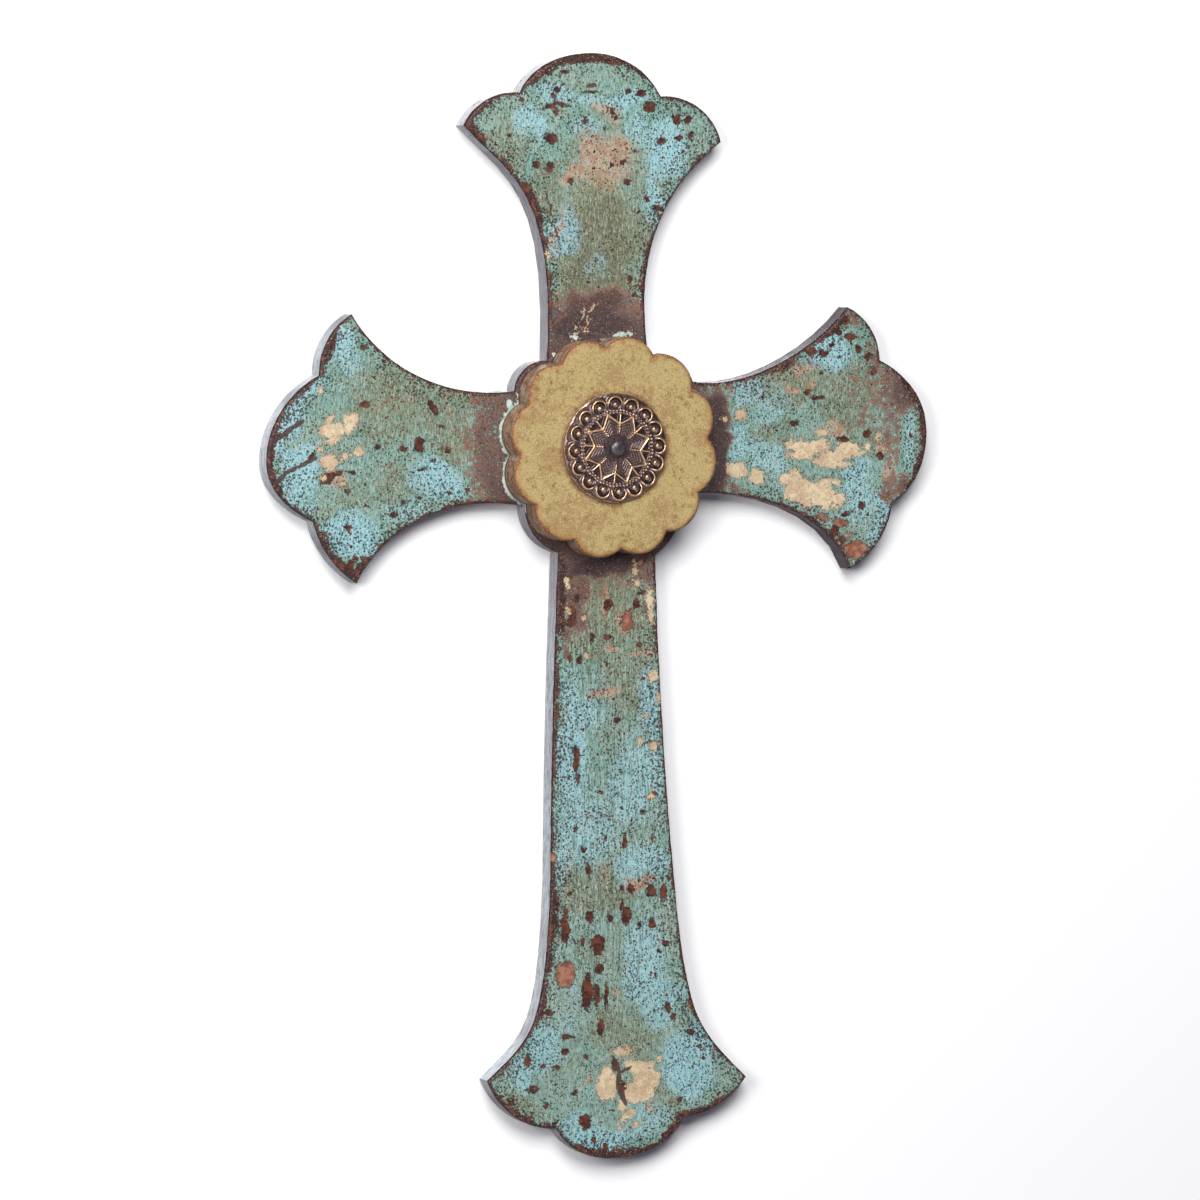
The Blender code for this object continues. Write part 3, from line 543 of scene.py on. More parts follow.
def mesh_object(name, points, faces, replaced=None, attributes=None, smooth_deg=40):
    """An object from points in the frame's metres that stands for a node, whose own part it hides."""
    mesh = bpy.data.meshes.new(name)
    mesh.from_pydata([tuple(point) for point in points], [], [tuple(face) for face in faces])
    mesh.validate()
    for key, values in (attributes or {}).items():
        layer = mesh.attributes.new(key, "FLOAT", "POINT")
        layer.data.foreach_set("value", np.asarray(values, dtype=np.float32))
    bm = bmesh.new()
    bm.from_mesh(mesh)
    loose = [vert for vert in bm.verts if not vert.link_faces]
    bmesh.ops.delete(bm, geom=loose, context="VERTS")
    bmesh.ops.recalc_face_normals(bm, faces=bm.faces)
    bm.to_mesh(mesh)
    bm.free()
    mesh.shade_smooth()
    mesh.set_sharp_from_angle(angle=radians(smooth_deg))
    piece = bpy.data.objects.new(name, mesh)
    bpy.context.scene.collection.objects.link(piece)
    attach(piece, "root")
    if replaced:
        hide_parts(replaced)
    return piece


def in_frame(places, depth):
    """Places across and up and depths forward from the back, as points of the frame in metres."""
    return np.stack([places[:, 0], -depth, places[:, 1] - HANG_HEIGHT], 1) * MM


def rounded_drop(distance, radius):
    """How far a rounded edge has dropped at a distance in from it."""
    inside = np.clip(radius - distance, 0, radius)
    return radius - np.sqrt(radius ** 2 - inside ** 2)


class Nodes:
    """A material that is built up one node at a time. Sizes are in millimetres."""

    def __init__(self, name):
        self.material = bpy.data.materials.new(name)
        self.material.use_nodes = True
        self.tree = self.material.node_tree
        self.shader = self.tree.nodes["Principled BSDF"]
        self.place = self.tree.nodes.new("ShaderNodeTexCoord").outputs["Object"]

    def make(self, kind, inputs=(), **settings):
        """A new shader node with its settings, and its inputs linked or set."""
        node = self.tree.nodes.new("ShaderNode" + kind)
        for key, value in settings.items():
            setattr(node, key, value)
        for key, value in dict(inputs).items():
            self.put(node.inputs[key], value)
        return node

    def put(self, socket, value):
        if isinstance(value, bpy.types.NodeSocket):
            self.tree.links.new(value, socket)
        elif socket.type == "RGBA":
            socket.default_value = (*value, 1.0)
        else:
            socket.default_value = value

    def set(self, **values):
        for key, value in values.items():
            self.put(self.shader.inputs[key.replace("_", " ")], value)

    def field(self, name):
        return self.make("Attribute", attribute_name=name).outputs["Fac"]

    def noise(self, size, detail=2.0, roughness=0.5, stretch=(1, 1, 1), shift=0.0):
        scale = tuple(1 / (size * MM * factor) for factor in stretch)
        mapping = self.make("Mapping", {"Vector": self.place, "Scale": scale, "Location": (shift,) * 3})
        inputs = {"Vector": mapping.outputs[0], "Scale": 1.0, "Detail": detail, "Roughness": roughness}
        return self.make("TexNoise", inputs).outputs["Fac"]

    def cells(self, size, shift=0.0):
        inputs = {"Vector": self.place, "Scale": (1 / (size * MM),) * 3, "Location": (shift,) * 3}
        mapping = self.make("Mapping", inputs)
        return self.make("TexVoronoi", {"Vector": mapping.outputs[0], "Scale": 1.0}).outputs["Distance"]

    def math(self, operation, first, second):
        return self.make("Math", {0: first, 1: second}, operation=operation).outputs[0]

    def add(self, *values):
        total = values[0]
        for value in values[1:]:
            total = self.math("ADD", total, value)
        return total

    def times(self, first, second):
        return self.math("MULTIPLY", first, second)

    def most(self, *values):
        top = values[0]
        for value in values[1:]:
            top = self.math("MAXIMUM", top, value)
        return top

    def spread(self, noise, reach):
        """A noise moved to lie about 0, times a reach."""
        return self.times(self.math("SUBTRACT", noise, 0.5), reach)

    def step(self, value, low, high):
        inputs = {"Value": value, "From Min": low, "From Max": high, "To Min": 0.0, "To Max": 1.0}
        return self.make("MapRange", inputs, interpolation_type="SMOOTHSTEP").outputs[0]

    def blend(self, value, low, high, first, last):
        inputs = {"Value": value, "From Min": low, "From Max": high, "To Min": first, "To Max": last}
        return self.make("MapRange", inputs).outputs[0]

    def mix(self, first, second, share):
        node = self.make("Mix", data_type="RGBA")
        self.put(node.inputs[0], share)
        self.put(node.inputs[6], first)
        self.put(node.inputs[7], second)
        return node.outputs[2]

    def cover(self, first, second, value, low, high, most=None):
        """The second colour over the first as a value goes from low to high, up to a greatest share."""
        share = self.step(value, low, high)
        return self.mix(first, second, share if most is None else self.times(share, most))

    def bump(self, height, distance, strength):
        inputs = {"Height": height, "Distance": distance * MM, "Strength": strength}
        return self.make("Bump", inputs).outputs[0]


def tone(red, green, blue):
    """A screen colour as the light share that a surface gives back, for the light on the cross's face."""
    result = []
    for value in (red, green, blue):
        share = value / 255
        linear = share / 12.92 if share <= 0.04045 else ((share + 0.055) / 1.055) ** 2.4
        result.append(min(0.95, linear / LIGHT_ON_FACE))
    return tuple(result)


def turquoise_paint():
    n = Nodes("turquoise_paint")
    broad = n.noise(22, 3)
    coarse = n.noise(8, 3, shift=3.0)
    medium = n.noise(3.0, 3, shift=7.0)
    fine = n.noise(1.15, 3, 0.6, shift=1.0)
    speck = n.noise(0.62, 2, 0.6, shift=5.0)
    grain = n.noise(0.62, 3, 0.6, (1, 1, 4), shift=2.0)
    crackle = n.noise(0.75, 3, 0.6, shift=8.0)
    streak = n.noise(0.75, 3, 0.6, (1, 1, 16), shift=6.0)
    edge = n.field("edge")
    shaft = n.field("shaft")

    # Paint tones
    sky_level = n.add(n.field("sky"), n.spread(medium, 1.0), n.spread(fine, 1.6), n.spread(speck, 1.0))
    sky_share = n.step(sky_level, 0.25, 1.0)
    olive_level = n.add(n.field("olive"), n.spread(coarse, 0.7), n.spread(medium, 1.0), n.spread(fine, 1.2))
    olive_share = n.step(olive_level, 0.15, 1.0)
    color = n.cover(tone(124, 164, 152), tone(138, 166, 152), broad, 0.4, 0.6)
    color = n.mix(color, tone(124, 134, 106), n.times(olive_share, 0.9))
    color = n.cover(color, tone(108, 110, 84), n.field("olive"), 1.0, 1.5, 0.7)
    color = n.mix(color, tone(148, 202, 212), n.times(sky_share, 0.88))
    color = n.mix(color, tone(190, 232, 238), n.times(sky_share, n.times(n.step(speck, 0.48, 0.66), 0.7)))
    color = n.cover(color, tone(198, 210, 196), grain, 0.50, 0.66, n.add(0.5, n.times(shaft, 0.1)))
    color = n.cover(color, tone(72, 86, 70), grain, 0.47, 0.33, n.add(0.62, n.times(shaft, 0.1)))
    color = n.cover(color, tone(92, 112, 98), streak, 0.46, 0.34, n.times(shaft, 0.7))
    color = n.cover(color, tone(176, 196, 184), streak, 0.55, 0.68, n.times(shaft, 0.6))
    color = n.mix(color, tone(128, 96, 72), n.times(olive_share, n.times(n.step(speck, 0.52, 0.66), 0.55)))
    color = n.mix(color, tone(92, 74, 56), n.times(olive_share, n.times(n.step(fine, 0.58, 0.70), 0.5)))

    # Soft tan areas where the undercoat shines through
    tan_level = n.add(n.field("tan"), n.spread(medium, 1.0), n.spread(fine, 2.0), n.spread(speck, 1.4))
    tan = n.cover(tone(206, 168, 140), tone(178, 132, 104), n.add(medium, n.spread(fine, 0.5)), 0.42, 0.62)
    color = n.cover(color, tan, tan_level, 0.2, 1.35, 0.86)

    # Pores and short cracks
    busy = n.add(n.times(n.field("sky"), 0.018), n.spread(coarse, 0.12), n.times(n.step(edge, 14, 1), 0.045))
    dots = n.add(n.times(n.cells(1.45), -0.5), n.times(busy, 1.7), n.spread(fine, 0.34))
    pores = n.step(dots, -0.145, -0.08)
    worms = n.step(n.add(crackle, busy), 0.61, 0.65)
    cracks = n.times(n.step(grain, 0.385, 0.35), n.add(0.2, n.times(shaft, 0.5)))
    paint_gone = n.most(n.times(pores, 0.9), n.times(worms, 0.92), n.times(cracks, 0.7))
    pit_color = n.cover(tone(36, 38, 34), tone(76, 46, 34), medium, 0.46, 0.62)
    color = n.mix(color, pit_color, paint_gone)

    # Dark stained areas, with the paint thinning out to specks
    ragged = n.add(n.spread(coarse, 0.5), n.spread(medium, 1.0), n.spread(fine, 1.8), n.spread(speck, 1.2))
    dark_share = n.step(n.add(n.field("dark"), ragged), 0.47, 0.68)
    wood = n.cover(tone(68, 48, 48), tone(150, 118, 104), fine, 0.38, 0.64)
    wood = n.cover(wood, tone(132, 88, 68), medium, 0.5, 0.66, 0.5)
    wood = n.cover(wood, tone(60, 42, 48), n.add(n.field("dark"), n.spread(fine, 1.2)), 0.8, 1.25, 0.85)
    wood = n.cover(wood, tone(196, 170, 146), speck, 0.61, 0.69, 0.6)
    color = n.mix(color, wood, n.times(dark_share, 0.97))

    # Rubbed edges
    uneven = n.add(n.spread(coarse, 2.0), n.spread(medium, 3.0), n.spread(fine, 5.0))
    width = n.add(1.35, uneven, n.times(n.field("worn"), 3.2))
    rim_share = n.step(n.math("SUBTRACT", width, edge), -0.3, 0.25)
    rim = n.cover(tone(46, 28, 30), tone(82, 52, 48), fine, 0.45, 0.64)
    rim = n.cover(rim, tone(130, 74, 52), medium, 0.57, 0.64, 0.45)
    rim = n.cover(rim, tone(206, 168, 132), speck, 0.62, 0.67, 0.75)
    color = n.mix(color, rim, rim_share)

    # Chips down to dark wood, with a darker line round them
    chip_depth = n.add(n.field("chip"), n.spread(fine, 2.8), n.spread(medium, 1.6), -0.12)
    stray = n.step(n.noise(3.6, 2, 0.5, shift=11.0), 0.68, 0.69)
    chip_share = n.most(n.step(chip_depth, -0.1, 0.1), stray)
    chip = n.cover(tone(92, 48, 34), tone(52, 26, 22), fine, 0.42, 0.6)
    chip = n.cover(chip, tone(136, 78, 54), medium, 0.52, 0.62, 0.45)
    color = n.cover(color, tone(44, 34, 30), chip_depth, -0.5, -0.05, 0.75)
    color = n.mix(color, chip, chip_share)

    # Orange wood and cream undercoat, each with a dark line round it
    orange_depth = n.add(n.field("orange"), n.spread(fine, 3.2), n.spread(medium, 2.8))
    orange = n.cover(tone(146, 88, 64), tone(172, 124, 102), medium, 0.42, 0.62)
    orange = n.cover(orange, tone(110, 62, 46), fine, 0.56, 0.64, 0.6)
    color = n.cover(color, tone(66, 44, 34), orange_depth, -0.7, 0.0, 0.85)
    color = n.cover(color, orange, orange_depth, 0.05, 0.3)
    cream_depth = n.add(n.field("cream"), n.spread(fine, 5.4), n.spread(medium, 3.6), n.spread(speck, 2.6))
    cream = n.cover(tone(230, 212, 176), tone(212, 188, 154), n.add(medium, n.spread(fine, 0.6)), 0.4, 0.62)
    cream = n.cover(cream, tone(192, 152, 126), n.add(coarse, n.spread(fine, 0.5)), 0.50, 0.62, 0.4)
    cream = n.cover(cream, tone(128, 94, 70), speck, 0.58, 0.66, 0.5)
    color = n.cover(color, tone(112, 84, 62), cream_depth, -0.7, -0.1, 0.65)
    cream_share = n.step(cream_depth, 0.0, 0.2)
    color = n.mix(color, cream, cream_share)

    # Mint paint left round the medallion, and scratches
    mint_depth = n.add(n.field("mint"), n.spread(fine, 3.0), n.spread(medium, 3.2), n.spread(speck, 1.2))
    mint = n.cover(tone(178, 200, 186), tone(214, 222, 212), n.add(medium, n.spread(fine, 0.8)), 0.45, 0.6)
    color = n.cover(color, mint, mint_depth, -0.15, 0.4, 0.92)
    scratch_depth = n.add(n.field("dark_scratch"), n.spread(fine, 1.6), n.spread(medium, 0.8))
    color = n.cover(color, tone(78, 50, 44), scratch_depth, -0.15, 0.1, 0.92)
    pale_depth = n.add(n.field("pale_scratch"), n.spread(fine, 1.6))
    color = n.cover(color, tone(202, 194, 172), pale_depth, -0.1, 0.2, 0.75)

    n.set(Base_Color=color)
    gone = n.most(n.times(pores, 0.5), n.times(worms, 0.5), chip_share, rim_share, n.times(dark_share, 0.5))
    steps = n.add(n.times(gone, -1.0), n.times(cream_share, -0.25))
    relief = n.add(steps, n.spread(fine, 0.35), n.spread(grain, 0.4))
    normal = n.bump(relief, 0.16, 0.8)
    n.set(Normal=normal, Roughness=n.blend(n.add(fine, n.times(gone, 0.2)), 0.3, 0.8, 0.64, 0.5))
    n.shader.inputs["Specular IOR Level"].default_value = 0.3
    return n.material


def side_wash():
    n = Nodes("side_wash")
    fine = n.noise(1.2, 3, 0.6, shift=4.0)
    medium = n.noise(4.5, 3, shift=9.0)
    plies = n.noise(0.8, 3, 0.6, (7, 1, 7), shift=2.0)
    wash = n.field("wash")
    pale = n.step(n.add(wash, n.spread(medium, 0.5), n.spread(fine, 0.5), n.spread(plies, 0.6)), 0.0, 0.8)
    color = n.mix(tone(204, 200, 206), (0.84, 0.93, 0.97), pale)
    color = n.cover(color, (0.92, 0.94, 0.96), n.add(wash, n.spread(plies, 0.6)), 0.7, 1.1)
    pink = n.times(n.step(medium, 0.58, 0.64), n.step(wash, 0.9, 1.1))
    color = n.mix(color, tone(226, 192, 178), n.times(pink, 0.6))
    color = n.cover(color, tone(66, 50, 48), n.add(fine, n.spread(medium, 0.4)), 0.62, 0.68, 0.45)
    # Darker wall tone where the listed darker-wall areas push the wash below 0
    darker_wall_tone = n.cover(tone(84, 76, 82), tone(122, 114, 120), plies, 0.42, 0.6)
    color = n.cover(color, darker_wall_tone, wash, -0.1, -0.7)
    color = n.cover(color, tone(128, 132, 142), plies, 0.49, 0.38, 0.55)
    near_face = n.step(n.add(n.field("level"), n.spread(fine, 0.2), n.spread(medium, 0.2)), 0.87, 0.94)
    color = n.mix(color, tone(76, 54, 48), near_face)
    n.set(Base_Color=color, Normal=n.bump(n.add(plies, n.spread(fine, 0.6)), 0.2, 0.7))
    n.set(Roughness=n.blend(medium, 0.3, 0.7, 0.6, 0.78))
    n.shader.inputs["Specular IOR Level"].default_value = 0.3
    return n.material


def plain_back():
    n = Nodes("plain_back")
    grain = n.noise(1.3, 4, 0.6, (1, 1, 14), shift=2.0)
    broad = n.noise(26, 3, shift=5.0)
    fine = n.noise(1.1, 3, 0.6)
    color = n.cover(tone(116, 92, 74), tone(150, 124, 98), grain, 0.38, 0.62)
    color = n.cover(color, tone(92, 84, 84), broad, 0.42, 0.62, 0.6)
    color = n.cover(color, tone(60, 48, 42), fine, 0.62, 0.68, 0.6)
    n.set(Base_Color=color, Normal=n.bump(n.add(grain, n.spread(fine, 0.4)), 0.2, 0.7))
    n.set(Roughness=n.blend(broad, 0.3, 0.7, 0.7, 0.85))
    n.shader.inputs["Specular IOR Level"].default_value = 0.25
    return n.material


def olive_gold():
    n = Nodes("olive_gold_paint")
    broad = n.noise(24, 3, shift=1.0)
    coarse = n.noise(7, 3, shift=6.0)
    medium = n.noise(2.6, 3, shift=3.0)
    fine = n.noise(1.0, 3, 0.6, shift=8.0)
    speck = n.noise(0.6, 2, 0.6, shift=2.0)
    mottle = n.add(broad, n.spread(coarse, 0.4), n.spread(medium, 0.7), n.spread(fine, 0.8))
    color = n.cover(tone(190, 168, 112), tone(171, 141, 92), mottle, 0.4, 0.62)
    color = n.cover(color, tone(218, 196, 146), speck, 0.50, 0.68, 0.6)
    color = n.cover(color, tone(134, 106, 60), speck, 0.48, 0.32, 0.62)
    color = n.cover(color, tone(150, 118, 72), fine, 0.54, 0.70, 0.5)
    color = n.cover(color, tone(120, 82, 48), n.add(medium, n.spread(speck, 0.5)), 0.66, 0.70, 0.6)
    stain = n.add(n.field("stain"), n.spread(coarse, 0.8), n.spread(medium, 0.8), n.spread(fine, 1.2))
    color = n.cover(color, tone(126, 82, 58), stain, 0.1, 1.2, 0.78)
    edge = n.add(n.field("edge"), n.spread(coarse, -3.0), n.spread(medium, -2.6), n.spread(fine, -2.0))
    color = n.cover(color, tone(166, 122, 76), edge, 3.4, 1.2, 0.75)
    color = n.cover(color, tone(118, 68, 44), edge, 1.3, 0.5, 0.9)
    color = n.cover(color, tone(206, 156, 108), edge, 1.2, 0.2, n.times(n.step(speck, 0.52, 0.6), 0.8))
    streaks = n.noise(1.0, 3, 0.6, (5, 0.8, 5), shift=4.0)
    dust = n.cover(tone(118, 82, 64), tone(190, 152, 122), n.add(streaks, n.spread(medium, 0.6)), 0.36, 0.6)
    dust = n.cover(dust, tone(206, 194, 172), n.add(coarse, n.spread(fine, 0.8)), 0.54, 0.68, 0.6)
    dust = n.cover(dust, tone(76, 52, 44), streaks, 0.60, 0.66, 0.6)
    color = n.mix(color, dust, n.field("wall"))
    # Painted shade: the wall darkens towards its foot, where it meets the board
    foot = n.add(n.field("foot"), n.spread(medium, 1.0), n.spread(fine, 0.6))
    color = n.cover(color, tone(66, 46, 42), foot, 0.4, 1.0, 0.85)
    n.set(Base_Color=color)
    relief = n.add(n.spread(fine, 0.7), n.spread(medium, 0.5), n.times(n.step(speck, 0.62, 0.67), -0.5))
    n.set(Normal=n.bump(relief, 0.16, 0.8), Roughness=n.blend(fine, 0.3, 0.7, 0.5, 0.68))
    n.shader.inputs["Specular IOR Level"].default_value = 0.35
    return n.material


def antique_brass():
    n = Nodes("antique_brass")
    fine = n.noise(0.9, 3, 0.6, shift=3.0)
    medium = n.noise(2.6, 3, shift=6.0)
    gold = n.add(n.field("gold"), n.spread(fine, 0.8), n.spread(medium, 0.6))
    color = n.cover((0.065, 0.041, 0.048), (0.215, 0.135, 0.118), gold, 0.0, 0.45)
    color = n.cover(color, (0.74, 0.49, 0.26), gold, 0.42, 0.9)
    color = n.cover(color, (0.10, 0.06, 0.07), medium, 0.54, 0.68, 0.5)
    n.set(Base_Color=color, Metallic=n.blend(gold, 0.2, 0.7, 0.8, 1.0))
    n.set(Roughness=n.blend(n.field("shine"), 0.0, 1.0, 0.42, 0.24), Normal=n.bump(fine, 0.03, 0.4))
    n.shader.inputs["Coat Weight"].default_value = 0.5
    n.shader.inputs["Coat Roughness"].default_value = 0.15
    return n.material


def dark_steel():
    n = Nodes("dark_steel")
    fine = n.noise(0.6, 3, 0.6)
    medium = n.noise(1.8, 3, shift=2.0)
    color = n.cover((0.022, 0.016, 0.02), (0.06, 0.045, 0.05), n.add(medium, n.spread(fine, 0.6)), 0.42, 0.66)
    n.set(Base_Color=color, Normal=n.bump(n.add(fine, n.spread(medium, 0.8)), 0.03, 0.4))
    n.set(Roughness=n.blend(fine, 0.3, 0.7, 0.3, 0.4))
    n.shader.inputs["Metallic"].default_value = 0.0
    n.shader.inputs["Coat Weight"].default_value = 0.6
    n.shader.inputs["Coat Roughness"].default_value = 0.32
    return n.material


def build_board():
    outline = smooth_outline(back_outline("cross_board"), 0.85)
    heights = [BOARD_DEPTH - BOARD_ROUNDING - 1.2, 6.6, 4.4, 2.2, 0.5, 0.0]

    def wobble(places, height):
        reach = 0.16 * sin(pi * height / BOARD_DEPTH) if height else 0
        return reach * (1 + rough_noise(places + height, 5.0, 41))

    places, wall, edge, faces = panel(outline, (0.25, 0.7, 1.3, 2.0), 0.98, heights, wobble)
    on_face = np.isnan(wall)
    uneven = warped(places, 5.0, 0.8, 11)
    chip = spot_depth(uneven, CHIPS)
    orange = spot_depth(uneven, ORANGE)
    cream = spot_depth(warped(places, 4.0, 1.3, 17), CREAM)
    rounding = BOARD_ROUNDING * (1 + 0.45 * rough_noise(places, 9.0, 23) + 0.3 * rough_noise(places, 3.0, 29))
    drop = np.where(on_face, rounded_drop(edge, np.clip(rounding, 0.5, 2.4)), 0)
    drop += np.where(on_face, 0.16 * smooth_step(np.maximum(chip, orange), -0.2, 0.5), 0)
    drop += np.where(on_face, 0.08 * smooth_step(cream, -0.3, 0.5), 0)
    depth = np.where(on_face, BOARD_DEPTH - drop, np.nan_to_num(wall))
    shaft = smooth_step(places[:, 1], -40, -90) * (1 - smooth_step(-places[:, 1], 225, 270))
    fields = {
        "edge": np.clip(edge, 0, 40), "chip": chip, "orange": orange, "cream": cream,
        "mint": np.maximum(spot_depth(uneven, MINT), mint_line(places)),
        "shaft": shaft, "level": depth / BOARD_DEPTH,
        "dark_scratch": line_depth(warped(places, 6.0, 0.5, 51), DARK_SCRATCHES),
        "pale_scratch": line_depth(warped(places, 6.0, 0.5, 53), PALE_SCRATCHES),
        "wash": soft_cover(places, WASH) - soft_cover(places, DARKER_WALLS),
    }
    for name, areas in (("sky", SKY), ("olive", OLIVE), ("tan", TAN), ("dark", DARK), ("worn", WORN)):
        fields[name] = soft_cover(warped(places, 14.0, 5.0, 61), areas)
    fields["dark"] = np.maximum(fields["dark"], hub_darkness(places)) - soft_cover(places, PAINT_LEFT)
    points = in_frame(places, depth)
    board = mesh_object("painted_board", points, faces, "cross_board", fields)
    board.data.materials.append(turquoise_paint())
    board.data.materials.append(side_wash())
    front = -(BOARD_DEPTH - 1.6) * MM
    side = [int(abs(face.normal.y) < 0.5 and face.center.y > front) for face in board.data.polygons]
    board.data.polygons.foreach_set("material_index", side)


def build_back():
    """The flat back with its keyhole, from the board's own solid."""
    bm = bmesh.new()
    bm.from_mesh(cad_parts["cross_board"].data)
    front = [face for face in bm.faces if min(vert.co.y for vert in face.verts) < -7.5 * MM]
    bmesh.ops.delete(bm, geom=front, context="FACES")
    mesh = bpy.data.meshes.new("board_back")
    bm.to_mesh(mesh)
    bm.free()
    mesh.materials.clear()
    mesh.materials.append(plain_back())
    back = bpy.data.objects.new("board_back", mesh)
    bpy.context.scene.collection.objects.link(back)
    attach(back, "root")


def build_medallion():
    outline = smooth_outline(back_outline("medallion"), 0.6)
    height = MEDALLION_FRONT - MEDALLION_BACK
    heights = [height - 3.4, 7.4, 4.6, 2.2, 0.8, 0.0]

    def wobble(places, level):
        reach = 0.25 * sin(pi * level / height) if level else 0
        return reach * (1 + rough_noise(places + level, 6.0, 71))

    places, wall, edge, faces = panel(outline, (0.3, 0.8, 1.4, 2.1), 0.8, heights, wobble)
    on_face = np.isnan(wall)
    rounding = np.clip(1.9 * (1 + 0.3 * rough_noise(places, 8.0, 73)), 1.0, 2.8)
    drop = np.where(on_face, rounded_drop(edge, rounding) + 0.12 * rough_noise(places, 14.0, 75) ** 2, 0)
    level = np.where(on_face, height - drop, np.nan_to_num(wall))
    radius = np.hypot(*places.T)
    stain = (1 - smooth_step(radius - 24.4, 0.0, 3.4)) * (0.95 + 0.5 * rough_noise(places, 9.0, 77))
    fields = {
        "edge": np.clip(edge, 0, 20), "stain": np.where(on_face, stain, 0),
        "wall": np.where(on_face, smooth_step(drop, 0.9, 1.9), 1.0),
        # foot: painted shade low on the wall, next to the board
        "foot": 1 - smooth_step(level, 0.4, 3.0),
    }
    points = in_frame(places, level + MEDALLION_BACK)
    medallion = mesh_object("painted_medallion", points, faces, "medallion", fields)
    medallion.data.materials.append(olive_gold())
    back = [(point[0], -MEDALLION_BACK * MM, point[2]) for point in in_frame(outline, np.zeros(len(outline)))]
    closing = mesh_object("medallion_back", back, [tuple(range(len(back)))])
    closing.data.materials.append(plain_back())


def ridge(distance, width):
    return np.exp(-((distance / width) ** 2))


def segment_distance(points, start, end):
    along = end - start
    gap = points - start
    share = np.clip((gap * along).sum(-1) / (along * along).sum(-1), 0, 1)
    return np.sqrt(((gap - share[..., None] * along) ** 2).sum(-1))


def nearest_spoke(angle, count, turn_deg):
    """How far each angle is from the nearest of evenly spaced spokes, and that spoke's direction."""
    pitch = 2 * pi / count
    nearest = np.round((angle - radians(turn_deg)) / pitch) * pitch + radians(turn_deg)
    return angle - nearest, np.stack([np.cos(nearest), np.sin(nearest)], -1)


def rosette_relief(radius, angle):
    """The stamped face: its height above the underside, how golden it is rubbed and how it shines."""
    points = np.stack([radius * np.cos(angle), radius * np.sin(angle)], -1)
    height = 0.9 + 1.3 + 1.25 * (1 - (radius / 23.5) ** 2)
    gold = np.full(radius.shape, 0.12)

    # Star: zigzag ridges, spokes, veins and the V-shaped feathers inside its points
    offset, valley = nearest_spoke(angle, STAR_POINTS, STAR_TURN_DEG)
    side = np.where(offset < 0, -1, 1) * pi / STAR_POINTS
    tip = np.stack([
        valley[..., 0] * np.cos(side) - valley[..., 1] * np.sin(side),
        valley[..., 0] * np.sin(side) + valley[..., 1] * np.cos(side),
    ], -1)
    spoke = segment_distance(points, valley * STAR_INNER, valley * 15.2)
    vein = segment_distance(points, valley * 7.0, valley * STAR_INNER)
    zigzag = segment_distance(points, valley * STAR_INNER, tip * STAR_OUTER)
    star = np.maximum.reduce([ridge(spoke, 0.6), ridge(zigzag, 0.58), 0.85 * ridge(vein, 0.5)])
    off_tip, _ = nearest_spoke(angle, STAR_POINTS, STAR_TURN_DEG + 180 / STAR_POINTS)
    beside = np.abs(off_tip) * radius
    in_point = (radius > 5.2) * (radius * np.cos(off_tip) < STAR_OUTER - 1.0)
    in_point = in_point * (beside < np.minimum(radius * 0.39, (STAR_OUTER - radius) * 0.86 + 0.2))
    feathers = np.clip(np.cos(2 * pi * (radius + beside * 0.9) / 1.6), 0, 1) * in_point
    feathers = feathers * smooth_step(zigzag, 0.2, 0.7)
    pocket = smooth_step(zigzag, 0.45, 0.9) * smooth_step(spoke, 0.45, 0.9)
    pocket = pocket * (radius > 11.2) * (radius < 15.4) * (beside > (STAR_OUTER - radius) * 0.86 + 0.2)
    feathers = feathers * smooth_step(radius, 5.0, 9.5)
    height += 0.85 * star + 0.45 * feathers - 0.6 * pocket
    gold = np.maximum(gold, np.maximum(star, 0.55 * feathers))
    gold -= 0.3 * pocket

    # Two rings of fine beads
    beads = np.zeros(radius.shape)
    for ring, count, size in ((17.1, 66, 0.68), (15.9, 62, 0.5)):
        bead, _ = nearest_spoke(angle, count, CUP_TURN_DEG)
        distance = np.hypot(radius - ring, bead * radius)
        beads = np.maximum(beads, np.sqrt(np.clip(1 - (distance / size) ** 2, 0, None)) * size)
    beads *= (star < 0.3)
    height += beads * 1.1
    gold = np.maximum(gold, np.clip(beads * 1.5, 0, 0.7))

    # Cups: a thick crescent rim on the outer side, a hollow, and a ball
    offset, cup_way = nearest_spoke(angle, CUPS, CUP_TURN_DEG)
    gap = points - cup_way * CUP_CIRCLE
    distance = np.hypot(gap[..., 0], gap[..., 1])
    outer = smooth_step((gap * cup_way).sum(-1), -2.2, 1.2)
    crescent = outer * ridge(distance - 3.1, 0.85) * (radius > 16.6)
    hollow = smooth_step(3.4 - distance, 0, 1.0)
    ball_gap = np.hypot(*(points - cup_way * (CUP_CIRCLE - 0.25)).transpose(2, 0, 1))
    ball = np.sqrt(np.clip(1 - (ball_gap / 1.7) ** 2, 0, 1))
    height += 1.3 * crescent - 0.5 * hollow + 2.1 * ball
    gold = np.where(distance < 2.9, np.where(ball > 0, 0.6, 0.0), np.maximum(gold, crescent))
    shine = np.maximum.reduce([np.where(ball > 0, 0.45, 0.0), crescent * 0.8, star * 0.7, pocket * 0.9])
    return height, gold, shine


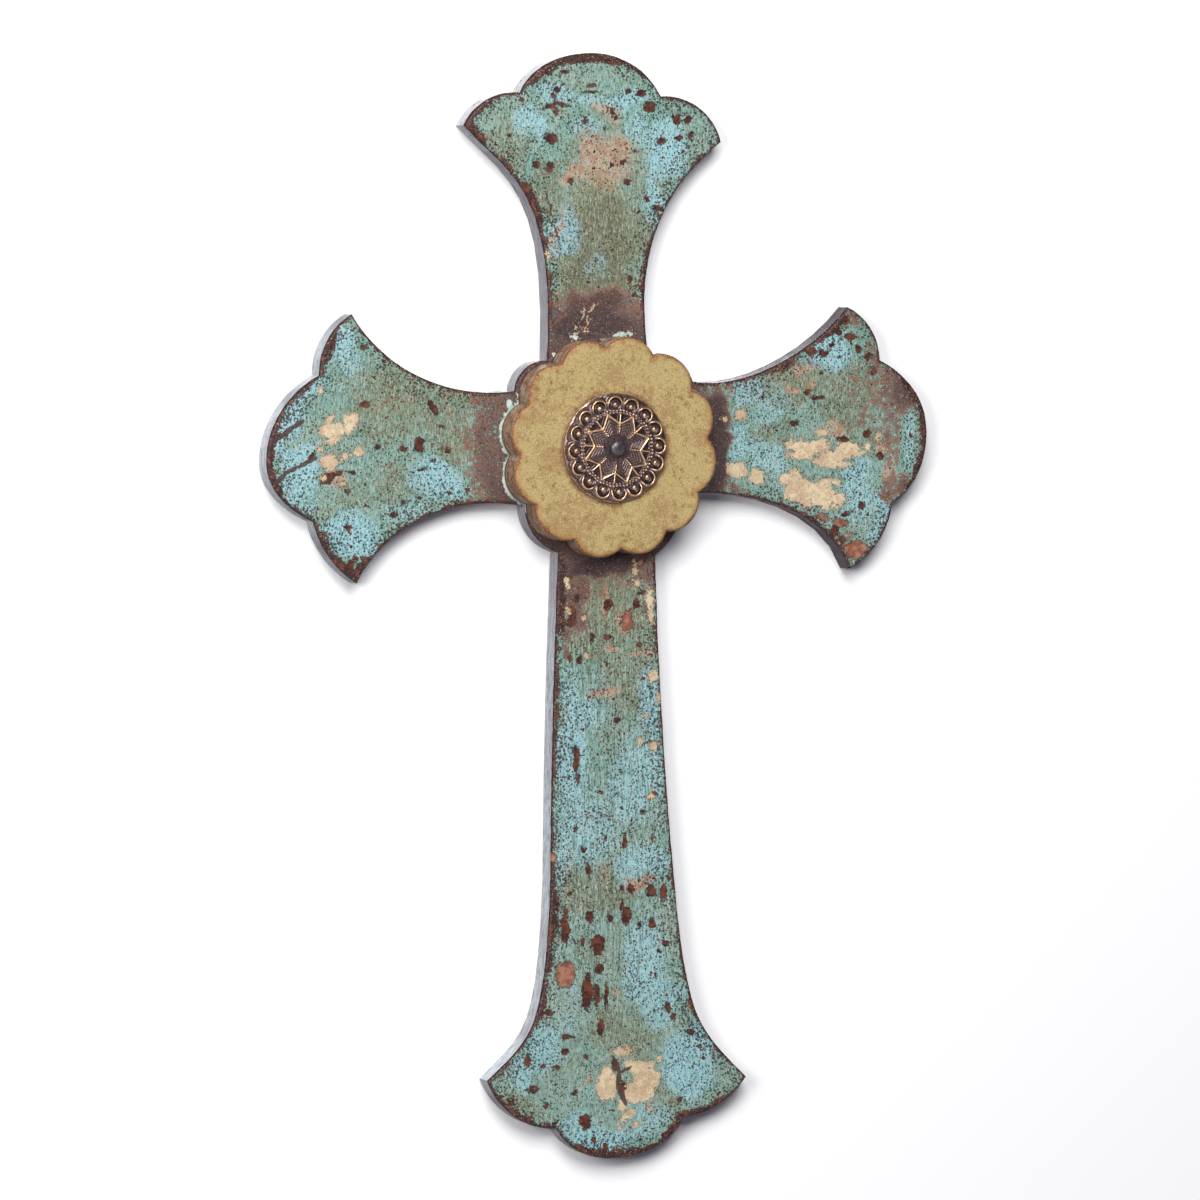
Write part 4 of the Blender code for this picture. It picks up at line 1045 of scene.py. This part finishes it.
def build_rosette():
    sides, steps = 640, 140
    angle = np.arange(sides) * 2 * pi / sides
    lobes = np.abs(np.cos((angle - radians(CUP_TURN_DEG)) * CUPS / 2))
    ring_edge = 22.5 + 1.2 * np.sqrt(lobes)
    radius = 0.6 + (ring_edge[None] - 0.6) * np.linspace(0, 1, steps)[:, None]
    height, gold, shine = rosette_relief(radius, np.broadcast_to(angle, radius.shape))
    height = np.where(radius < 4.2, np.minimum(height, 3.66), height)
    rows = [(radius, height, gold, shine)]
    for grow, level, golden in ((0.1, 1.75, 0.45), (0.22, 1.05, 0.0), (0.34, 0.92, 0.1)):
        rows.append(((ring_edge + grow)[None], level, golden, 0.3))
    for ring, level, golden in (
        (24.0, 1.0, 0.6), (24.06, 0.88, 0.1), (24.2, 0.98, 0.7),
        (24.4, 0.85, 0.5), (24.4, 0.4, 0.2), (24.3, 0.0, 0.1),
    ):
        rows.append((np.full((1, sides), ring), level, golden, 0.5))
    columns = [np.vstack([np.broadcast_to(row[item], row[0].shape) for row in rows]) for item in range(4)]
    radius, height, gold, shine = columns
    around = np.broadcast_to(angle, radius.shape)
    places = np.stack([radius * np.cos(around), radius * np.sin(around)], -1).reshape(-1, 2)
    faces = []
    for ring in range(len(radius) - 1):
        for side in range(sides):
            after = (side + 1) % sides
            low, high = ring * sides, (ring + 1) * sides
            faces.append((low + side, high + side, high + after, low + after))
    faces.append(tuple(range(sides)))
    faces.append(tuple(range(len(places) - sides, len(places))))
    fields = {"gold": gold.reshape(-1), "shine": shine.reshape(-1)}
    points = in_frame(places, height.reshape(-1) + ROSETTE_BACK)
    rosette = mesh_object("stamped_rosette", points, faces, "rosette", fields, 180)
    rosette.data.materials.append(antique_brass())


def build_tack():
    low, high = (Vector(corner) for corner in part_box("centre_tack"))
    centre = (low + high) / 2
    radius, height = (high.x - low.x) / 2, high.y - low.y
    sides, rings = 72, 20
    points, faces = [], []
    profile = [(0.96, 0.0), (1.0, 0.05), (1.0, 0.14)]
    for ring in range(rings):
        angle = pi / 2 * ring / rings
        profile.append((cos(angle) ** 0.9, 0.16 + 0.84 * sin(angle)))
    for share, level in profile:
        for side in range(sides):
            angle = 2 * pi * side / sides
            dent = 1 + 0.012 * sin(3 * angle + 1) + 0.008 * sin(5 * angle)
            reach = radius * share * dent / 1.02
            across, up = reach * cos(angle), reach * sin(angle)
            points.append((centre.x + across, high.y - height * level, centre.z + up))
    for ring in range(len(profile) - 1):
        for side in range(sides):
            after = (side + 1) % sides
            first, last = ring * sides, (ring + 1) * sides
            faces.append((first + side, last + side, last + after, first + after))
    faces.append(tuple(range(sides)))
    faces.append(tuple(range(len(points) - sides, len(points))))
    tack = mesh_object("tack_head", points, faces, "centre_tack", None, 60)
    tack.data.materials.append(dark_steel())


def add_camera():
    right, up, back = camera_axes()
    data = bpy.data.cameras.new("camera")
    data.lens = CAMERA_LENS
    data.sensor_width = CAMERA_SENSOR
    data.clip_end = 50
    camera = bpy.data.objects.new("camera", data)
    bpy.context.scene.collection.objects.link(camera)
    place = Matrix.Translation(CAMERA_TARGET + back * CAMERA_DISTANCE)
    camera.matrix_world = place @ Matrix((right, up, back)).transposed().to_4x4()
    bpy.context.scene.camera = camera


def add_area_light(name, place, size, energy):
    data = bpy.data.lights.new(name, "AREA")
    data.size = size
    data.energy = energy
    light = bpy.data.objects.new(name, data)
    bpy.context.scene.collection.objects.link(light)
    light.location = place
    light.rotation_euler = (Vector((0, 0, -0.17)) - light.location).to_track_quat("-Z", "Y").to_euler()


def add_plane(name, size, place, turn, material):
    bpy.ops.mesh.primitive_plane_add(size=size, location=place, rotation=turn)
    plane = bpy.context.object
    plane.name = name
    plane.data.materials.append(material)
    return plane


def add_studio():
    """A pale floor, a white wall close behind the cross that is seen from its front alone, and soft light."""
    scene = bpy.context.scene
    scene.view_settings.view_transform = "Standard"
    world = bpy.data.worlds.new("studio")
    world.use_nodes = True
    tree = world.node_tree
    light = tree.nodes["Background"]
    light.inputs[0].default_value = (*WORLD_COLOR, 1.0)
    light.inputs[1].default_value = WORLD_LIGHT
    seen = tree.nodes.new("ShaderNodeBackground")
    seen.inputs[0].default_value = SEEN_BACKGROUND
    either = tree.nodes.new("ShaderNodeMixShader")
    tree.links.new(tree.nodes.new("ShaderNodeLightPath").outputs["Is Camera Ray"], either.inputs[0])
    tree.links.new(light.outputs[0], either.inputs[1])
    tree.links.new(seen.outputs[0], either.inputs[2])
    tree.links.new(either.outputs[0], tree.nodes["World Output"].inputs[0])
    scene.world = world
    floor = Nodes("floor")
    floor.set(Base_Color=(0.7, 0.7, 0.7))
    floor.shader.inputs["Roughness"].default_value = 0.9
    plane = add_plane("floor", 6.0, (0, 0, -0.62), (0, 0, 0), floor.material)
    plane.visible_diffuse = False
    white = Nodes("wall")
    white.set(Base_Color=(0.97, 0.97, 0.97))
    white.shader.inputs["Roughness"].default_value = 1.0
    white.shader.inputs["Specular IOR Level"].default_value = 0.0
    clear = white.make("BsdfTransparent").outputs[0]
    side = white.make("NewGeometry").outputs["Backfacing"]
    both = white.make("MixShader", {0: side, 1: white.shader.outputs[0], 2: clear}).outputs[0]
    white.put(white.tree.nodes["Material Output"].inputs[0], both)
    wall = add_plane("wall", 4.0, (0, 0.0008, 1.38), (radians(90), 0, 0), white.material)
    wall.visible_diffuse = wall.visible_glossy = wall.visible_shadow = wall.visible_transmission = False
    add_area_light("key", (-0.45, -1.95, 1.08), 1.3, KEY_LIGHT)
    add_area_light("left", (-1.75, -1.75, 0.3), 0.9, LEFT_LIGHT)
    add_area_light("back_fill", (0.9, 2.2, 0.6), 1.2, BACK_LIGHT)


add_camera()
build_board()
build_back()
build_medallion()
build_rosette()
build_tack()
add_studio()
